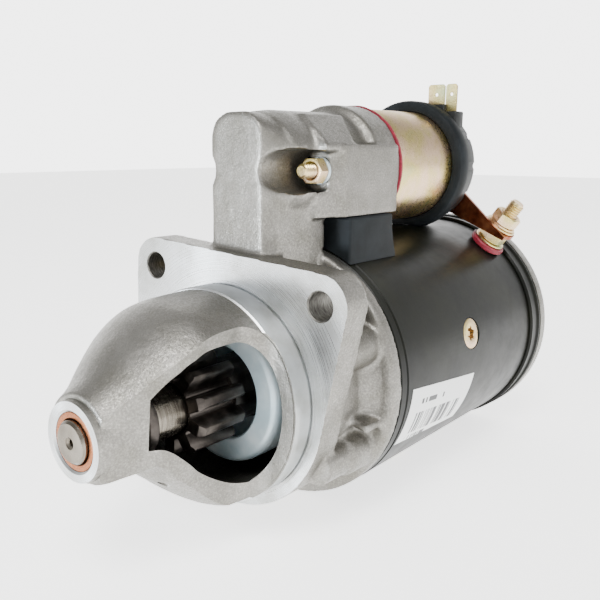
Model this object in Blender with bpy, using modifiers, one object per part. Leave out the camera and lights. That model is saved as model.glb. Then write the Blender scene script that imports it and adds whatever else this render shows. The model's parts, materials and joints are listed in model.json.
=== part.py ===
"""A pre-engaged starter motor with a three-bolt flange, its solenoid on top.

The origin is on the motor's axis, at the flange face that bolts to the engine.
+X runs along the shaft to the brush end, -X to the pinion nose, +Z up to the solenoid.
Sizes are in millimetres until an object is made, and MM turns them to metres.
"""

import math

import bmesh
import bpy
from mathutils import Matrix, Vector

MM = 0.001
GAP = 0.3  # left between pieces that touch on the real motor

# Engine interface
PILOT_RADIUS = 44.45
PILOT_LENGTH = 12.0
FLANGE_THICKNESS = 14.0
FLANGE_RADIUS = 50.0
BOLT_CIRCLE = 63.5  # radius
BOLT_PAD_RADIUS = 11.0
BOLT_PAD_HEIGHT = 0.5
BOLT_HOLE = 5.6
EAR_RADIUS = 12.3
EAR_ANGLES = {"lower": -43.0, "upper": 49.0, "window": 139.0}

# Nose casting
NOSE_FRONT = -75.7
BOSS_REAR = -57.3
BOSS_FRONT_RADIUS = 14.7
BOSS_REAR_RADIUS = 16.6
NOSE_WALL = 5.6
HUMP_TIP = -73.0
CHIN_TIP = -51.0
CHIN_SHOULDER = -24.0
HUMP_CREST = -36.0
HUMP_CREST_RADIUS = 42.3
WINDOW_REAR = -9.7
WINDOW_DEPTH = 22.8
WINDOW_CORNER = 12.5
WINDOW_TILT = 5.7  # degrees
CAVITY_RADIUS = PILOT_RADIUS - 6.45

# Shaft, bushes and drive
JOURNAL_RADIUS = 8.0
SHAFT_RADIUS = 10.0
SHAFT_TIP = -77.0
BUSH_RADIUS = 10.6
COLLAR_RADIUS = 13.5
COLLAR_WIDTH = 4.6
COLLAR_CLEARANCE = 1.5  # from the pinion at the end of its travel
DRIVE_TRAVEL = 14.5
PINION_TEETH = 10
PINION_MODULE = 3.175
PINION_FRONT = -32.0
PINION_WIDTH = 24.0
HUB_RADIUS = 14.0
CLUTCH_RADIUS = 30.5
CLUTCH_FRONT = -4.0
CLUTCH_WIDTH = 18.0
CLUTCH_WALL = 3.0
CLUTCH_MOUTH = 20.0
SLEEVE_RADIUS = 14.3
GROOVE_WIDTH = 6.0
GROOVE_LIP = 2.5
GROOVE_LIP_RADIUS = 19.5
GROOVE_CENTRE = 31.0

# Motor
YOKE_FRONT = 44.6
YOKE_LENGTH = 134.6
YOKE_RADIUS = 58.06
YOKE_WALL = 6.0
NECK_RADIUS = 46.0
RING_WIDTH = 6.8
ARMATURE_RADIUS = 38.0
ARMATURE_LENGTH = 66.0
ARMATURE_FRONT = 70.0
AIR_GAP = 0.6
SLOTS = 12
SLOT_WIDTH = 4.0
SLOT_DEPTH = 8.0
WINDING_OVERHANG = 13.0
COMMUTATOR_RADIUS = 21.0
COMMUTATOR_LENGTH = 22.0
POLE_ANGLES = (168.0, 78.0, -12.0, -102.0)
POLE_X = 110.0
POLE_SCREW_RADIUS = 7.5
THROUGH_BOLT_ANGLES = {"window": -147.0, "far": 33.0}
THROUGH_BOLT_INSET = 4.06
THROUGH_BOLT_RADIUS = 3.0
BAND_WIDTH = 11.3
BAND_STEP = 1.84
END_BRACKET_STEP = 2.04
END_BRACKET_WIDTH = 8.5
BRUSH_WIDTH = 8.0
BRUSH_LENGTH = 14.0

# Solenoid
SOLENOID_LIFT = 31.24  # from the yoke's surface to the solenoid's axis
CAN_FRONT = 88.2
CAN_LENGTH = 52.5
CAN_RADIUS = 27.5
CAN_WALL = 2.2
CAP_LENGTH = 19.0
CAP_RADIUS = 30.8
RUBBER_BAND_RADIUS = 33.3
PLUNGER_RADIUS = 10.0
PLUNGER_TRAVEL = 10.5
PLUNGER_BORE = 16.0
STUD_OFFSET = 20.5
STUD_RADIUS = 3.0
SOCKET_RADIUS = 8.8
SOCKET_FLOOR = 36.5
TERMINAL_SIDE = 9.0
TERMINAL_RISE = 12.3
TERMINAL_RADIUS = 5.0
BLADES = {"wide": (-10.0, 9.5), "narrow": (-18.6, 6.3)}  # y and width
BLADE_RISE = 41.7

# Solenoid housing and lever tower of the casting
TOWER_FRONT = 7.0
TOWER_HALF_WIDTH = 13.3
TOWER_REAR = 40.0
TOWER_REAR_HALF_WIDTH = 20.0
TOWER_RISE = 23.2
HOUSING_RADIUS = 24.5
HOUSING_RING_RADIUS = 28.3
HOUSING_RING_FRONT = 68.0
HOUSING_DROP = 19.3
HOUSING_CHEEK = 29.0
LEVER_SLOT = 7.6  # half width

# Field terminal on the yoke
FIELD_ANGLE = 126.0
FIELD_SETBACK = 9.5
FIELD_STUD_HEIGHT = 28.94
FIELD_STUD_RADIUS = 4.0
STRAP_LIFT = 10.94
STRAP_THICKNESS = 2.0
STRAP_EYE = 9.0

# Worked out from the sizes above
YOKE_REAR = YOKE_FRONT + YOKE_LENGTH
YOKE_BORE = YOKE_RADIUS - YOKE_WALL
THROUGH_BOLT_CIRCLE = YOKE_BORE - THROUGH_BOLT_INSET
BAND_RADIUS = YOKE_RADIUS + BAND_STEP
END_BRACKET_RADIUS = YOKE_RADIUS + END_BRACKET_STEP
SOLENOID_Z = YOKE_RADIUS + SOLENOID_LIFT
BATTERY_STUD = (TERMINAL_SIDE, SOLENOID_Z + TERMINAL_RISE)
MOTOR_STUD = (-TERMINAL_SIDE, SOLENOID_Z - TERMINAL_RISE)
BLADE_TOP = SOLENOID_Z + BLADE_RISE
TOWER_TOP = SOLENOID_Z + TOWER_RISE
HOUSING_BOTTOM = SOLENOID_Z - HOUSING_DROP
FIELD_X = YOKE_REAR - FIELD_SETBACK
FIELD_TIP = YOKE_RADIUS + FIELD_STUD_HEIGHT
STRAP_HEIGHT = YOKE_RADIUS + STRAP_LIFT
BAND_REAR = YOKE_REAR + GAP + BAND_WIDTH
END_REAR = BAND_REAR + GAP + END_BRACKET_WIDTH
CAN_REAR = CAN_FRONT + CAN_LENGTH
CAP_FRONT = CAN_REAR + GAP
CAP_REAR = CAP_FRONT + CAP_LENGTH
HOUSING_REAR = CAN_FRONT - 1.5
ARMATURE_REAR = ARMATURE_FRONT + ARMATURE_LENGTH
COMMUTATOR_FRONT = ARMATURE_REAR + WINDING_OVERHANG + 2.0
COMMUTATOR_REAR = COMMUTATOR_FRONT + COMMUTATOR_LENGTH
PINION_REAR = PINION_FRONT + PINION_WIDTH
CLUTCH_REAR = CLUTCH_FRONT + CLUTCH_WIDTH
GROOVE_FRONT = GROOVE_CENTRE - GROOVE_WIDTH / 2
GROOVE_REAR = GROOVE_CENTRE + GROOVE_WIDTH / 2
PINION_TIP = PINION_MODULE * (PINION_TEETH + 2) / 2
COLLAR_REAR = PINION_FRONT - DRIVE_TRAVEL - COLLAR_CLEARANCE
POCKET_FRONT = PINION_FRONT - DRIVE_TRAVEL - 0.7
# The lever's arms are in the ratio of the two travels, and its pivot stands over mid-travel.
LOWER_ARM = SOLENOID_Z * DRIVE_TRAVEL / (DRIVE_TRAVEL + PLUNGER_TRAVEL)
UPPER_ARM = SOLENOID_Z - LOWER_ARM
PIVOT = Vector((GROOVE_CENTRE - DRIVE_TRAVEL / 2, 0, LOWER_ARM))
LEVER_TILT = math.degrees(math.asin(PLUNGER_TRAVEL / 2 / UPPER_ARM))
LINK_X = PIVOT.x - PLUNGER_TRAVEL / 2
PLUNGER_FRONT = SOCKET_FLOOR + 1.5
PLUNGER_TIP = CAN_FRONT + 17.0
CORE_FACE = PLUNGER_TIP + PLUNGER_TRAVEL + 1.5

# Colour, roughness and metallic value
FINISHES = {
    "cast_aluminium": ("#B7B8B1", 0.55, 1.0),
    "black_paint": ("#23241F", 0.42, 0.0),
    "yellow_zinc": ("#C9B871", 0.30, 1.0),
    "blue_zinc": ("#C5D4DA", 0.25, 1.0),
    "bronze": ("#B5714A", 0.40, 1.0),
    "ground_steel": ("#B9B4AA", 0.30, 1.0),
    "dark_steel": ("#4A4743", 0.40, 1.0),
    "laminated_steel": ("#6E6B66", 0.50, 1.0),
    "copper": ("#A95F3C", 0.35, 1.0),
    "rubber": ("#26292B", 0.75, 0.0),
    "red_gasket": ("#A3253A", 0.60, 0.0),
    "black_moulding": ("#1B1D1F", 0.50, 0.0),
    "carbon": ("#2B2B2D", 0.60, 0.2),
    "paper": ("#E9E9E4", 0.60, 0.0),
}


def clear_scene():
    for obj in list(bpy.data.objects):
        bpy.data.objects.remove(obj, do_unlink=True)


def new_collection(name, hidden):
    collection = bpy.data.collections.new(name)
    collection.hide_render = hidden
    bpy.context.scene.collection.children.link(collection)
    return collection


def linear(channel):
    return channel / 12.92 if channel <= 0.04045 else ((channel + 0.055) / 1.055) ** 2.4


def material(name, finish):
    colour, roughness, metallic = FINISHES[finish]
    made = bpy.data.materials.new(name)
    made.use_nodes = True
    shader = made.node_tree.nodes["Principled BSDF"]
    rgb = [linear(int(colour[i : i + 2], 16) / 255) for i in (1, 3, 5)]
    shader.inputs["Base Color"].default_value = (*rgb, 1)
    shader.inputs["Roughness"].default_value = roughness
    shader.inputs["Metallic"].default_value = metallic
    return made


def add_object(name, mesh):
    obj = bpy.data.objects.new(name, mesh)
    CONSTRUCTION.objects.link(obj)
    obj.hide_render = True
    obj.display_type = "WIRE"
    return obj


def finished(obj, finish):
    """Moves a construction shape into the motor's collection, as one of its pieces."""
    CONSTRUCTION.objects.unlink(obj)
    STARTER.objects.link(obj)
    obj.hide_render = False
    obj.display_type = "TEXTURED"
    obj.data.materials.append(material(obj.name, finish))
    return obj


def mesh_from(name, bm):
    bmesh.ops.remove_doubles(bm, verts=bm.verts, dist=1e-6)
    bmesh.ops.recalc_face_normals(bm, faces=bm.faces)
    mesh = bpy.data.meshes.new(name)
    bm.to_mesh(mesh)
    bm.free()
    return mesh


def place(obj, centre, direction):
    """Puts the object's own X axis along a direction, through a point in millimetres."""
    obj.location = Vector(centre) * MM
    obj.rotation_mode = "QUATERNION"
    obj.rotation_quaternion = Vector((1, 0, 0)).rotation_difference(Vector(direction))
    return obj


def turned(name, profile, steps=20, centre=(0, 0, 0), direction=(1, 0, 0)):
    """Turns (x, radius) points about X. A loop is a ring; a run from axis to axis is a bar."""
    bar = profile[0][1] == 0
    last = len(profile) - (1 if bar else 0)
    edges = [(i, (i + 1) % len(profile)) for i in range(last)]
    mesh = bpy.data.meshes.new(name)
    mesh.from_pydata([(x * MM, 0, radius * MM) for x, radius in profile], edges, [])
    obj = add_object(name, mesh)
    screw = obj.modifiers.new("Turn", "SCREW")
    screw.axis = "X"
    screw.steps = steps
    screw.render_steps = steps
    screw.use_merge_vertices = True
    screw.merge_threshold = 0.00001
    screw.use_normal_flip = True
    return place(obj, centre, direction)


def rod(name, start, end, radius, steps=20, centre=(0, 0, 0), direction=(1, 0, 0)):
    profile = [(start, 0), (start, radius), (end, radius), (end, 0)]
    return turned(name, profile, steps, centre, direction)


def tube(name, start, end, bore, radius, steps=20, centre=(0, 0, 0), direction=(1, 0, 0)):
    profile = [(start, bore), (start, radius), (end, radius), (end, bore)]
    return turned(name, profile, steps, centre, direction)


def box(name, low, high):
    bm = bmesh.new()
    bmesh.ops.create_cube(bm, size=1)
    size = [(b - a) * MM for a, b in zip(low, high)]
    middle = Vector([(a + b) / 2 * MM for a, b in zip(low, high)])
    bmesh.ops.scale(bm, vec=size, verts=bm.verts)
    bmesh.ops.translate(bm, vec=middle, verts=bm.verts)
    return add_object(name, mesh_from(name, bm))


AXIS_FRAMES = {
    "X": Matrix(((0, 0, 1, 0), (1, 0, 0, 0), (0, 1, 0, 0), (0, 0, 0, 1))),
    "Z": Matrix.Identity(4),
}


def extruded(name, outline, low, high, axis="X"):
    """A flat outline, (y, z) for X or (x, y) for Z, with its thickness from low to high."""
    curve = bpy.data.curves.new(name, "CURVE")
    curve.dimensions = "2D"
    curve.fill_mode = "BOTH"
    curve.extrude = (high - low) / 2 * MM
    spline = curve.splines.new("POLY")
    spline.points.add(len(outline) - 1)
    spline.use_cyclic_u = True
    for point, (u, v) in zip(spline.points, outline):
        point.co = (u * MM, v * MM, 0, 1)
    flat = bpy.data.objects.new(name, curve)
    bpy.context.scene.collection.objects.link(flat)
    bpy.context.view_layer.update()
    graph = bpy.context.evaluated_depsgraph_get()
    mesh = bpy.data.meshes.new_from_object(flat.evaluated_get(graph))
    bpy.data.objects.remove(flat)
    bm = bmesh.new()
    bm.from_mesh(mesh)
    bmesh.ops.translate(bm, vec=(0, 0, (low + high) / 2 * MM), verts=bm.verts)
    bmesh.ops.transform(bm, matrix=AXIS_FRAMES[axis], verts=bm.verts)
    return add_object(name, mesh_from(name, bm))


def hull(name, points):
    """The convex solid round a set of points."""
    bm = bmesh.new()
    for point in points:
        bm.verts.new(Vector(point) * MM)
    made = bmesh.ops.convex_hull(bm, input=bm.verts)
    spare = [v for v in made["geom_interior"] if isinstance(v, bmesh.types.BMVert)]
    bmesh.ops.delete(bm, geom=spare, context="VERTS")
    return add_object(name, mesh_from(name, bm))


def loft(name, sections):
    """A closed skin through rings of points that all have the same count."""
    bm = bmesh.new()
    rings = [[bm.verts.new(Vector(point) * MM) for point in ring] for ring in sections]
    count = len(rings[0])
    for one, two in zip(rings, rings[1:]):
        for i in range(count):
            j = (i + 1) % count
            bm.faces.new((one[i], one[j], two[j], two[i]))
    bm.faces.new(rings[0])
    bm.faces.new(rings[-1])
    return add_object(name, mesh_from(name, bm))


def combine(target, other, operation):
    modifier = target.modifiers.new(other.name, "BOOLEAN")
    modifier.operation = operation
    modifier.object = other
    return target


def join(target, *others):
    for other in others:
        combine(target, other, "UNION")
    return target


def cut(target, *others):
    for other in others:
        combine(target, other, "DIFFERENCE")
    return target


def polar(radius, degrees):
    angle = math.radians(degrees)
    return radius * math.cos(angle), radius * math.sin(angle)


def arc(centre, radius, start, end, count):
    """Points round a circle, from one angle to another in degrees."""
    angles = [start + (end - start) * i / (count - 1) for i in range(count)]
    return [(centre[0] + polar(radius, a)[0], centre[1] + polar(radius, a)[1]) for a in angles]


def sector(name, inner, outer, middle, half_angle, low, high, count=9):
    """A block bent round the motor's axis."""
    outside = arc((0, 0), outer, middle - half_angle, middle + half_angle, count)
    inside = arc((0, 0), inner, middle + half_angle, middle - half_angle, count)
    return extruded(name, outside + inside, low, high)


def radial(degrees):
    return (0, *polar(1, degrees))


def hex_nut(name, start, end, across_flats, bore, centre=(0, 0, 0), direction=(1, 0, 0)):
    nut = rod(name, start, end, across_flats / math.sqrt(3), 6, centre, direction)
    hole = rod(name + "_hole", start - 1, end + 1, bore, 14, centre, direction)
    return cut(nut, hole)


def run_through(knots, x):
    """Straight-line reading of a profile that is given as (x, radius) knots."""
    if x <= knots[0][0]:
        return knots[0][1]
    for (x0, r0), (x1, r1) in zip(knots, knots[1:]):
        if x <= x1:
            return r0 + (r1 - r0) * (x - x0) / (x1 - x0)
    return knots[-1][1]


def nose_sections(top, bottom, stations, count=28):
    """Rings whose radius goes from the chin's profile up to the hump's."""
    rings = []
    for x in stations:
        high, low = run_through(top, x), run_through(bottom, x)
        ring = []
        for i in range(count):
            angle = 360 * i / count
            share = (1 + math.sin(math.radians(angle))) / 2
            ring.append((x, *polar(low + (high - low) * share, angle)))
        rings.append(ring)
    return rings


def nose_casting():
    """The hump over the pinion, from the boss back to the pilot, and its machined pilot."""
    as_cast = PILOT_RADIUS - 0.75
    lip = POCKET_FRONT - 1
    top = [(HUMP_TIP, 15.0), (HUMP_CREST - 7, 40.0), (HUMP_CREST, HUMP_CREST_RADIUS)]
    top.append((-PILOT_LENGTH, as_cast))
    bottom = [(CHIN_TIP, 16.0), (lip, PINION_TIP + 2.8), (CHIN_SHOULDER, as_cast - 1.5)]
    bottom.append((-PILOT_LENGTH, as_cast))
    stations = (HUMP_TIP, -60.0, CHIN_TIP, lip, -43.0, HUMP_CREST, -30.0, CHIN_SHOULDER)
    stations += (-PILOT_LENGTH, 6.0)
    nose = loft("drive_end_bracket", nose_sections(top, bottom, stations))
    join(nose, rod("pilot", -PILOT_LENGTH, 4, PILOT_RADIUS, 40))
    cut(nose, ring_gear_window())
    boss = [(NOSE_FRONT, 0), (NOSE_FRONT, BOSS_FRONT_RADIUS), (BOSS_REAR, BOSS_REAR_RADIUS)]
    return join(nose, turned("boss", boss + [(BOSS_REAR, 0)], 22))


def ring_gear_window():
    """The side opening where the ring gear reaches the pinion, cut straight down."""
    corner = (WINDOW_REAR - WINDOW_CORNER, -WINDOW_DEPTH - WINDOW_CORNER)
    outline = [(-85.0, -60.0), (-85.0, -9.0), (-46.0, -WINDOW_DEPTH + 1.2)]
    outline += arc(corner, WINDOW_CORNER, 90, 0, 7)
    outline.append((WINDOW_REAR, -60.0))
    window = extruded("ring_gear_window", outline, -60, 60, "Z")
    window.rotation_euler = (math.radians(WINDOW_TILT), 0, 0)
    return window


def nose_cavity():
    """The space for the drive: it follows the nose inside, and is round behind the pilot."""
    room = COLLAR_RADIUS + 0.8
    pocket = PINION_TIP + 1
    top = [(BOSS_REAR, 20.5), (HUMP_CREST - 7, 40.0 - NOSE_WALL * 1.3)]
    top += [(HUMP_CREST + 2, HUMP_CREST_RADIUS - 5.1), (-PILOT_LENGTH, CAVITY_RADIUS)]
    bottom = [(POCKET_FRONT - 1, room), (POCKET_FRONT, pocket), (-43.0, pocket + 1.4)]
    bottom += [(-34.0, 28.5), (-20.0, CAVITY_RADIUS - 1), (-PILOT_LENGTH, CAVITY_RADIUS)]
    rear = YOKE_FRONT - GAP - RING_WIDTH
    stations = (BOSS_REAR, POCKET_FRONT - 1, POCKET_FRONT, -43.0, -34.0, -27.0, -20.0)
    stations += (-PILOT_LENGTH, rear + 1)
    return loft("nose_cavity", nose_sections(top, bottom, stations))


def flange_plate():
    """The three-eared flange: straight edges between round ears and a round back."""
    rim = arc((0, 0), FLANGE_RADIUS, 0, 360, 41)
    for angle in EAR_ANGLES.values():
        rim += arc(polar(BOLT_CIRCLE, angle), EAR_RADIUS, 0, 360, 17)
    return hull("flange", [(x, y, z) for x in (0, FLANGE_THICKNESS) for y, z in rim])


def skirt():
    """The neck and the ring that carry the yoke, with the bosses for its long bolts."""
    front = YOKE_FRONT - GAP - RING_WIDTH
    rear = YOKE_FRONT - GAP
    profile = [(8, 0), (8, NECK_RADIUS), (front, NECK_RADIUS), (front, YOKE_RADIUS)]
    neck = turned("neck", profile + [(rear, YOKE_RADIUS), (rear, 0)], 40)
    for name, angle in THROUGH_BOLT_ANGLES.items():
        centre = (0, *polar(THROUGH_BOLT_CIRCLE, angle))
        join(neck, rod(f"bolt_boss_{name}", 10, front + 1, 8.0, 14, centre))
    return neck


def lever_tower():
    """The upright housing of the lever, narrow in front and wider behind."""
    rear = TOWER_REAR_HALF_WIDTH
    plan = [(TOWER_FRONT, TOWER_HALF_WIDTH), (13.0, TOWER_HALF_WIDTH + 4.0)]
    plan += [(TOWER_REAR - 10, rear), (TOWER_REAR, rear)]
    plan += [(x, -y) for x, y in reversed(plan)]
    tower = extruded("tower", plan, 38, SOLENOID_Z + 5, "Z")
    crown = TOWER_HALF_WIDTH - 1.3
    outline = [(-crown, SOLENOID_Z), (crown, SOLENOID_Z)]
    outline += arc((crown - 10, TOWER_TOP - 10), 10, 0, 90, 6)
    outline += arc((10 - crown, TOWER_TOP - 10), 10, 90, 180, 6)
    return join(tower, extruded("crown", outline, TOWER_FRONT, SOCKET_FLOOR + 1.5))


def solenoid_housing():
    """The round plunger housing with its cheeks, flat under, and the ring at its mouth."""
    axis = (0, 0, SOLENOID_Z)
    profile = [(22, 0), (22, HOUSING_RADIUS), (HOUSING_RING_FRONT, HOUSING_RADIUS)]
    profile += [(HOUSING_RING_FRONT, HOUSING_RING_RADIUS), (HOUSING_REAR, HOUSING_RING_RADIUS)]
    housing = turned("housing", profile + [(HOUSING_REAR, 0)], 28, axis)
    cheek = HOUSING_CHEEK - 4
    plan = [(SOCKET_FLOOR - 2.5, cheek - 4), (SOCKET_FLOOR + 7, HOUSING_CHEEK)]
    plan += [(HOUSING_REAR - 4, HOUSING_CHEEK), (HOUSING_REAR - 1, cheek)]
    plan += [(x, -y) for x, y in reversed(plan)]
    join(housing, extruded("cheeks", plan, HOUSING_BOTTOM - 2, SOLENOID_Z + 10.5, "Z"))
    low = (TOWER_REAR - 3, -50, HOUSING_BOTTOM - 20)
    return cut(housing, box("flat_under", low, (HOUSING_REAR - 5, 50, HOUSING_BOTTOM)))


def drive_end_bracket():
    """The one casting that holds the nose, the flange, the lever and the solenoid."""
    casting = nose_casting()
    join(casting, flange_plate(), skirt(), lever_tower(), solenoid_housing())
    cut(casting, nose_cavity())
    register = YOKE_FRONT - GAP - RING_WIDTH
    cut(casting, rod("plate_register", register, YOKE_FRONT + 1, CAVITY_RADIUS + 5.3, 28))
    cut(casting, rod("bush_bore", NOSE_FRONT - 1, BOSS_REAR + 1, BUSH_RADIUS + GAP))
    slot_low = (LINK_X - 6.0, -LEVER_SLOT, CAVITY_RADIUS - 8)
    slot_high = (SOCKET_FLOOR + 2, LEVER_SLOT, SOLENOID_Z + 8)
    cut(casting, box("lever_slot", slot_low, slot_high))
    axis = (0, 0, SOLENOID_Z)
    bore_front = SOCKET_FLOOR - GAP
    cut(casting, rod("plunger_bore", bore_front, HOUSING_REAR + 1, PLUNGER_BORE, 22, axis))
    for side, y in (("window", -STUD_OFFSET), ("far", STUD_OFFSET)):
        stud_line = (0, y, SOLENOID_Z)
        cut(casting, rod(f"socket_{side}", -5, SOCKET_FLOOR, SOCKET_RADIUS, 16, stud_line))
        cut(
            casting,
            rod(f"stud_hole_{side}", 30, HOUSING_REAR + 1, STUD_RADIUS + GAP, 12, stud_line),
        )
    pin_end = -TOWER_REAR_HALF_WIDTH + 4.5
    cut(casting, rod("pin_hole", pin_end - GAP, 60, 4.0 + GAP, 14, PIVOT, (0, 1, 0)))
    seat = FLANGE_THICKNESS + BOLT_PAD_HEIGHT
    for name, angle in EAR_ANGLES.items():
        centre = (0, *polar(BOLT_CIRCLE, angle))
        join(casting, rod(f"pad_{name}", seat - 2, seat, BOLT_PAD_RADIUS, 18, centre))
        cut(casting, rod(f"hole_{name}", -1, seat + 1, BOLT_HOLE, 14, centre))
    for name, angle in THROUGH_BOLT_ANGLES.items():
        centre = (0, *polar(THROUGH_BOLT_CIRCLE, angle))
        thread = rod(f"thread_{name}", 24, YOKE_FRONT + 1, THROUGH_BOLT_RADIUS + GAP, 12, centre)
        cut(casting, thread)
    return finished(casting, "cast_aluminium")


def bushes_and_centre_plate():
    bore = JOURNAL_RADIUS + GAP
    nose_bush = tube("nose_bush", NOSE_FRONT + 0.8, BOSS_REAR - 1.0, bore, BUSH_RADIUS)
    finished(nose_bush, "bronze")
    end_bush = tube("end_bush", END_REAR - 15.0, END_REAR - 4.0, bore, BUSH_RADIUS + 0.9)
    finished(end_bush, "bronze")
    front = YOKE_FRONT - RING_WIDTH + 0.4
    bore = SHAFT_RADIUS + GAP
    plate = [(front, bore), (front, CAVITY_RADIUS + 5.0), (front + 4, CAVITY_RADIUS + 5.0)]
    plate += [(front + 4, 17.0), (front + 11, 15.0), (front + 11, bore)]
    finished(turned("centre_bearing_plate", plate, 22), "cast_aluminium")


def armature():
    hub = SHAFT_RADIUS + 2.0
    core_bore = hub + GAP
    shaft = [(SHAFT_TIP, 2.0), (SHAFT_TIP + 2.5, 0.0)]
    shaft.reverse()
    shaft += [(SHAFT_TIP, JOURNAL_RADIUS - 0.8), (SHAFT_TIP + 0.8, JOURNAL_RADIUS)]
    shaft += [(COLLAR_REAR - COLLAR_WIDTH - 1, JOURNAL_RADIUS)]
    shaft += [(COLLAR_REAR - COLLAR_WIDTH - 1, SHAFT_RADIUS), (54.0, SHAFT_RADIUS), (54.0, hub)]
    shaft += [(COMMUTATOR_REAR, hub), (COMMUTATOR_REAR, JOURNAL_RADIUS)]
    shaft += [(END_REAR - 4.5, JOURNAL_RADIUS), (END_REAR - 4.5, 0.0)]
    finished(turned("armature_shaft", shaft), "ground_steel")
    front = COLLAR_REAR - COLLAR_WIDTH
    collar = tube("thrust_collar", front, COLLAR_REAR, SHAFT_RADIUS + GAP, COLLAR_RADIUS)
    finished(collar, "dark_steel")
    core = tube("armature_core", ARMATURE_FRONT, ARMATURE_REAR, core_bore, ARMATURE_RADIUS, 28)
    slot_floor = ARMATURE_RADIUS - SLOT_DEPTH
    front_end = ARMATURE_FRONT - GAP
    rear_end = ARMATURE_REAR + GAP
    winding_front = ARMATURE_FRONT - WINDING_OVERHANG
    winding_rear = ARMATURE_REAR + WINDING_OVERHANG
    end_radius = ARMATURE_RADIUS - 3.0
    winding = tube("armature_winding", winding_front, front_end, core_bore, end_radius, 18)
    join(winding, tube("rear_turns", rear_end, winding_rear, core_bore, end_radius, 18))
    for i in range(SLOTS):
        angle = 360 / SLOTS * (i + 0.5)
        half_slot = SLOT_WIDTH / 2
        slot = box(
            f"slot_{i}",
            (ARMATURE_FRONT - 1, -half_slot, slot_floor),
            (ARMATURE_REAR + 1, half_slot, ARMATURE_RADIUS + 5),
        )
        slot.rotation_euler.x = math.radians(angle)
        cut(core, slot)
        bar = box(
            f"bar_{i}",
            (front_end - 2, GAP - half_slot, slot_floor + GAP),
            (rear_end + 2, half_slot - GAP, end_radius - 0.5),
        )
        bar.rotation_euler.x = math.radians(angle)
        join(winding, bar)
    finished(core, "laminated_steel")
    finished(winding, "copper")
    commutator = tube(
        "commutator", COMMUTATOR_FRONT, COMMUTATOR_REAR - 1, core_bore, COMMUTATOR_RADIUS, 24
    )
    finished(commutator, "copper")


def pinion_outline():
    """Ten stubby teeth: a straight-sided tooth with a rounded root on each pitch."""
    tip = PINION_TIP
    root = PINION_MODULE * (PINION_TEETH - 2.5) / 2
    pitch = 360 / PINION_TEETH
    outline = []
    for i in range(PINION_TEETH):
        middle = pitch * (i + 0.5)
        for radius, share in ((root, -0.5), (root, -0.32), (tip - 1.2, -0.17), (tip, -0.12)):
            outline.append(polar(radius, middle + share * pitch))
        for radius, share in ((tip, 0.12), (tip - 1.2, 0.17), (root, 0.32)):
            outline.append(polar(radius, middle + share * pitch))
    return outline


def drive():
    bore = SHAFT_RADIUS + GAP
    pinion = extruded("pinion", pinion_outline(), PINION_FRONT, PINION_REAR)
    hub_end = CLUTCH_REAR - CLUTCH_WALL - 1.3
    join(pinion, rod("pinion_hub", PINION_REAR - 2, hub_end, HUB_RADIUS))
    cut(pinion, rod("pinion_bore", PINION_FRONT - 1, hub_end + 1, bore))
    finished(pinion, "dark_steel")
    inside = CLUTCH_RADIUS - CLUTCH_WALL
    floor = CLUTCH_REAR - CLUTCH_WALL
    back = SLEEVE_RADIUS + GAP
    shell = [(CLUTCH_FRONT, CLUTCH_MOUTH), (CLUTCH_FRONT, CLUTCH_RADIUS - 1.5)]
    shell += [(CLUTCH_FRONT + 1.5, CLUTCH_RADIUS), (CLUTCH_REAR, CLUTCH_RADIUS)]
    shell += [(CLUTCH_REAR, back), (floor, back), (floor, inside)]
    shell += [(CLUTCH_FRONT + CLUTCH_WALL, inside), (CLUTCH_FRONT + CLUTCH_WALL, CLUTCH_MOUTH)]
    finished(turned("clutch_shell", shell, 28), "blue_zinc")
    lip_front = GROOVE_FRONT - GROOVE_LIP
    lip_rear = GROOVE_REAR + GROOVE_LIP
    sleeve = [(floor - 1, bore), (floor - 1, SLEEVE_RADIUS), (CLUTCH_REAR + GAP, SLEEVE_RADIUS)]
    sleeve += [(CLUTCH_REAR + GAP, SLEEVE_RADIUS + 3), (CLUTCH_REAR + 3, SLEEVE_RADIUS + 3)]
    sleeve += [(CLUTCH_REAR + 3, SLEEVE_RADIUS), (lip_front, SLEEVE_RADIUS)]
    sleeve += [(lip_front, GROOVE_LIP_RADIUS), (GROOVE_FRONT, GROOVE_LIP_RADIUS)]
    sleeve += [(GROOVE_FRONT, SLEEVE_RADIUS), (GROOVE_REAR, SLEEVE_RADIUS)]
    sleeve += [(GROOVE_REAR, GROOVE_LIP_RADIUS), (lip_rear, GROOVE_LIP_RADIUS), (lip_rear, bore)]
    finished(turned("drive_sleeve", sleeve), "ground_steel")


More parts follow.
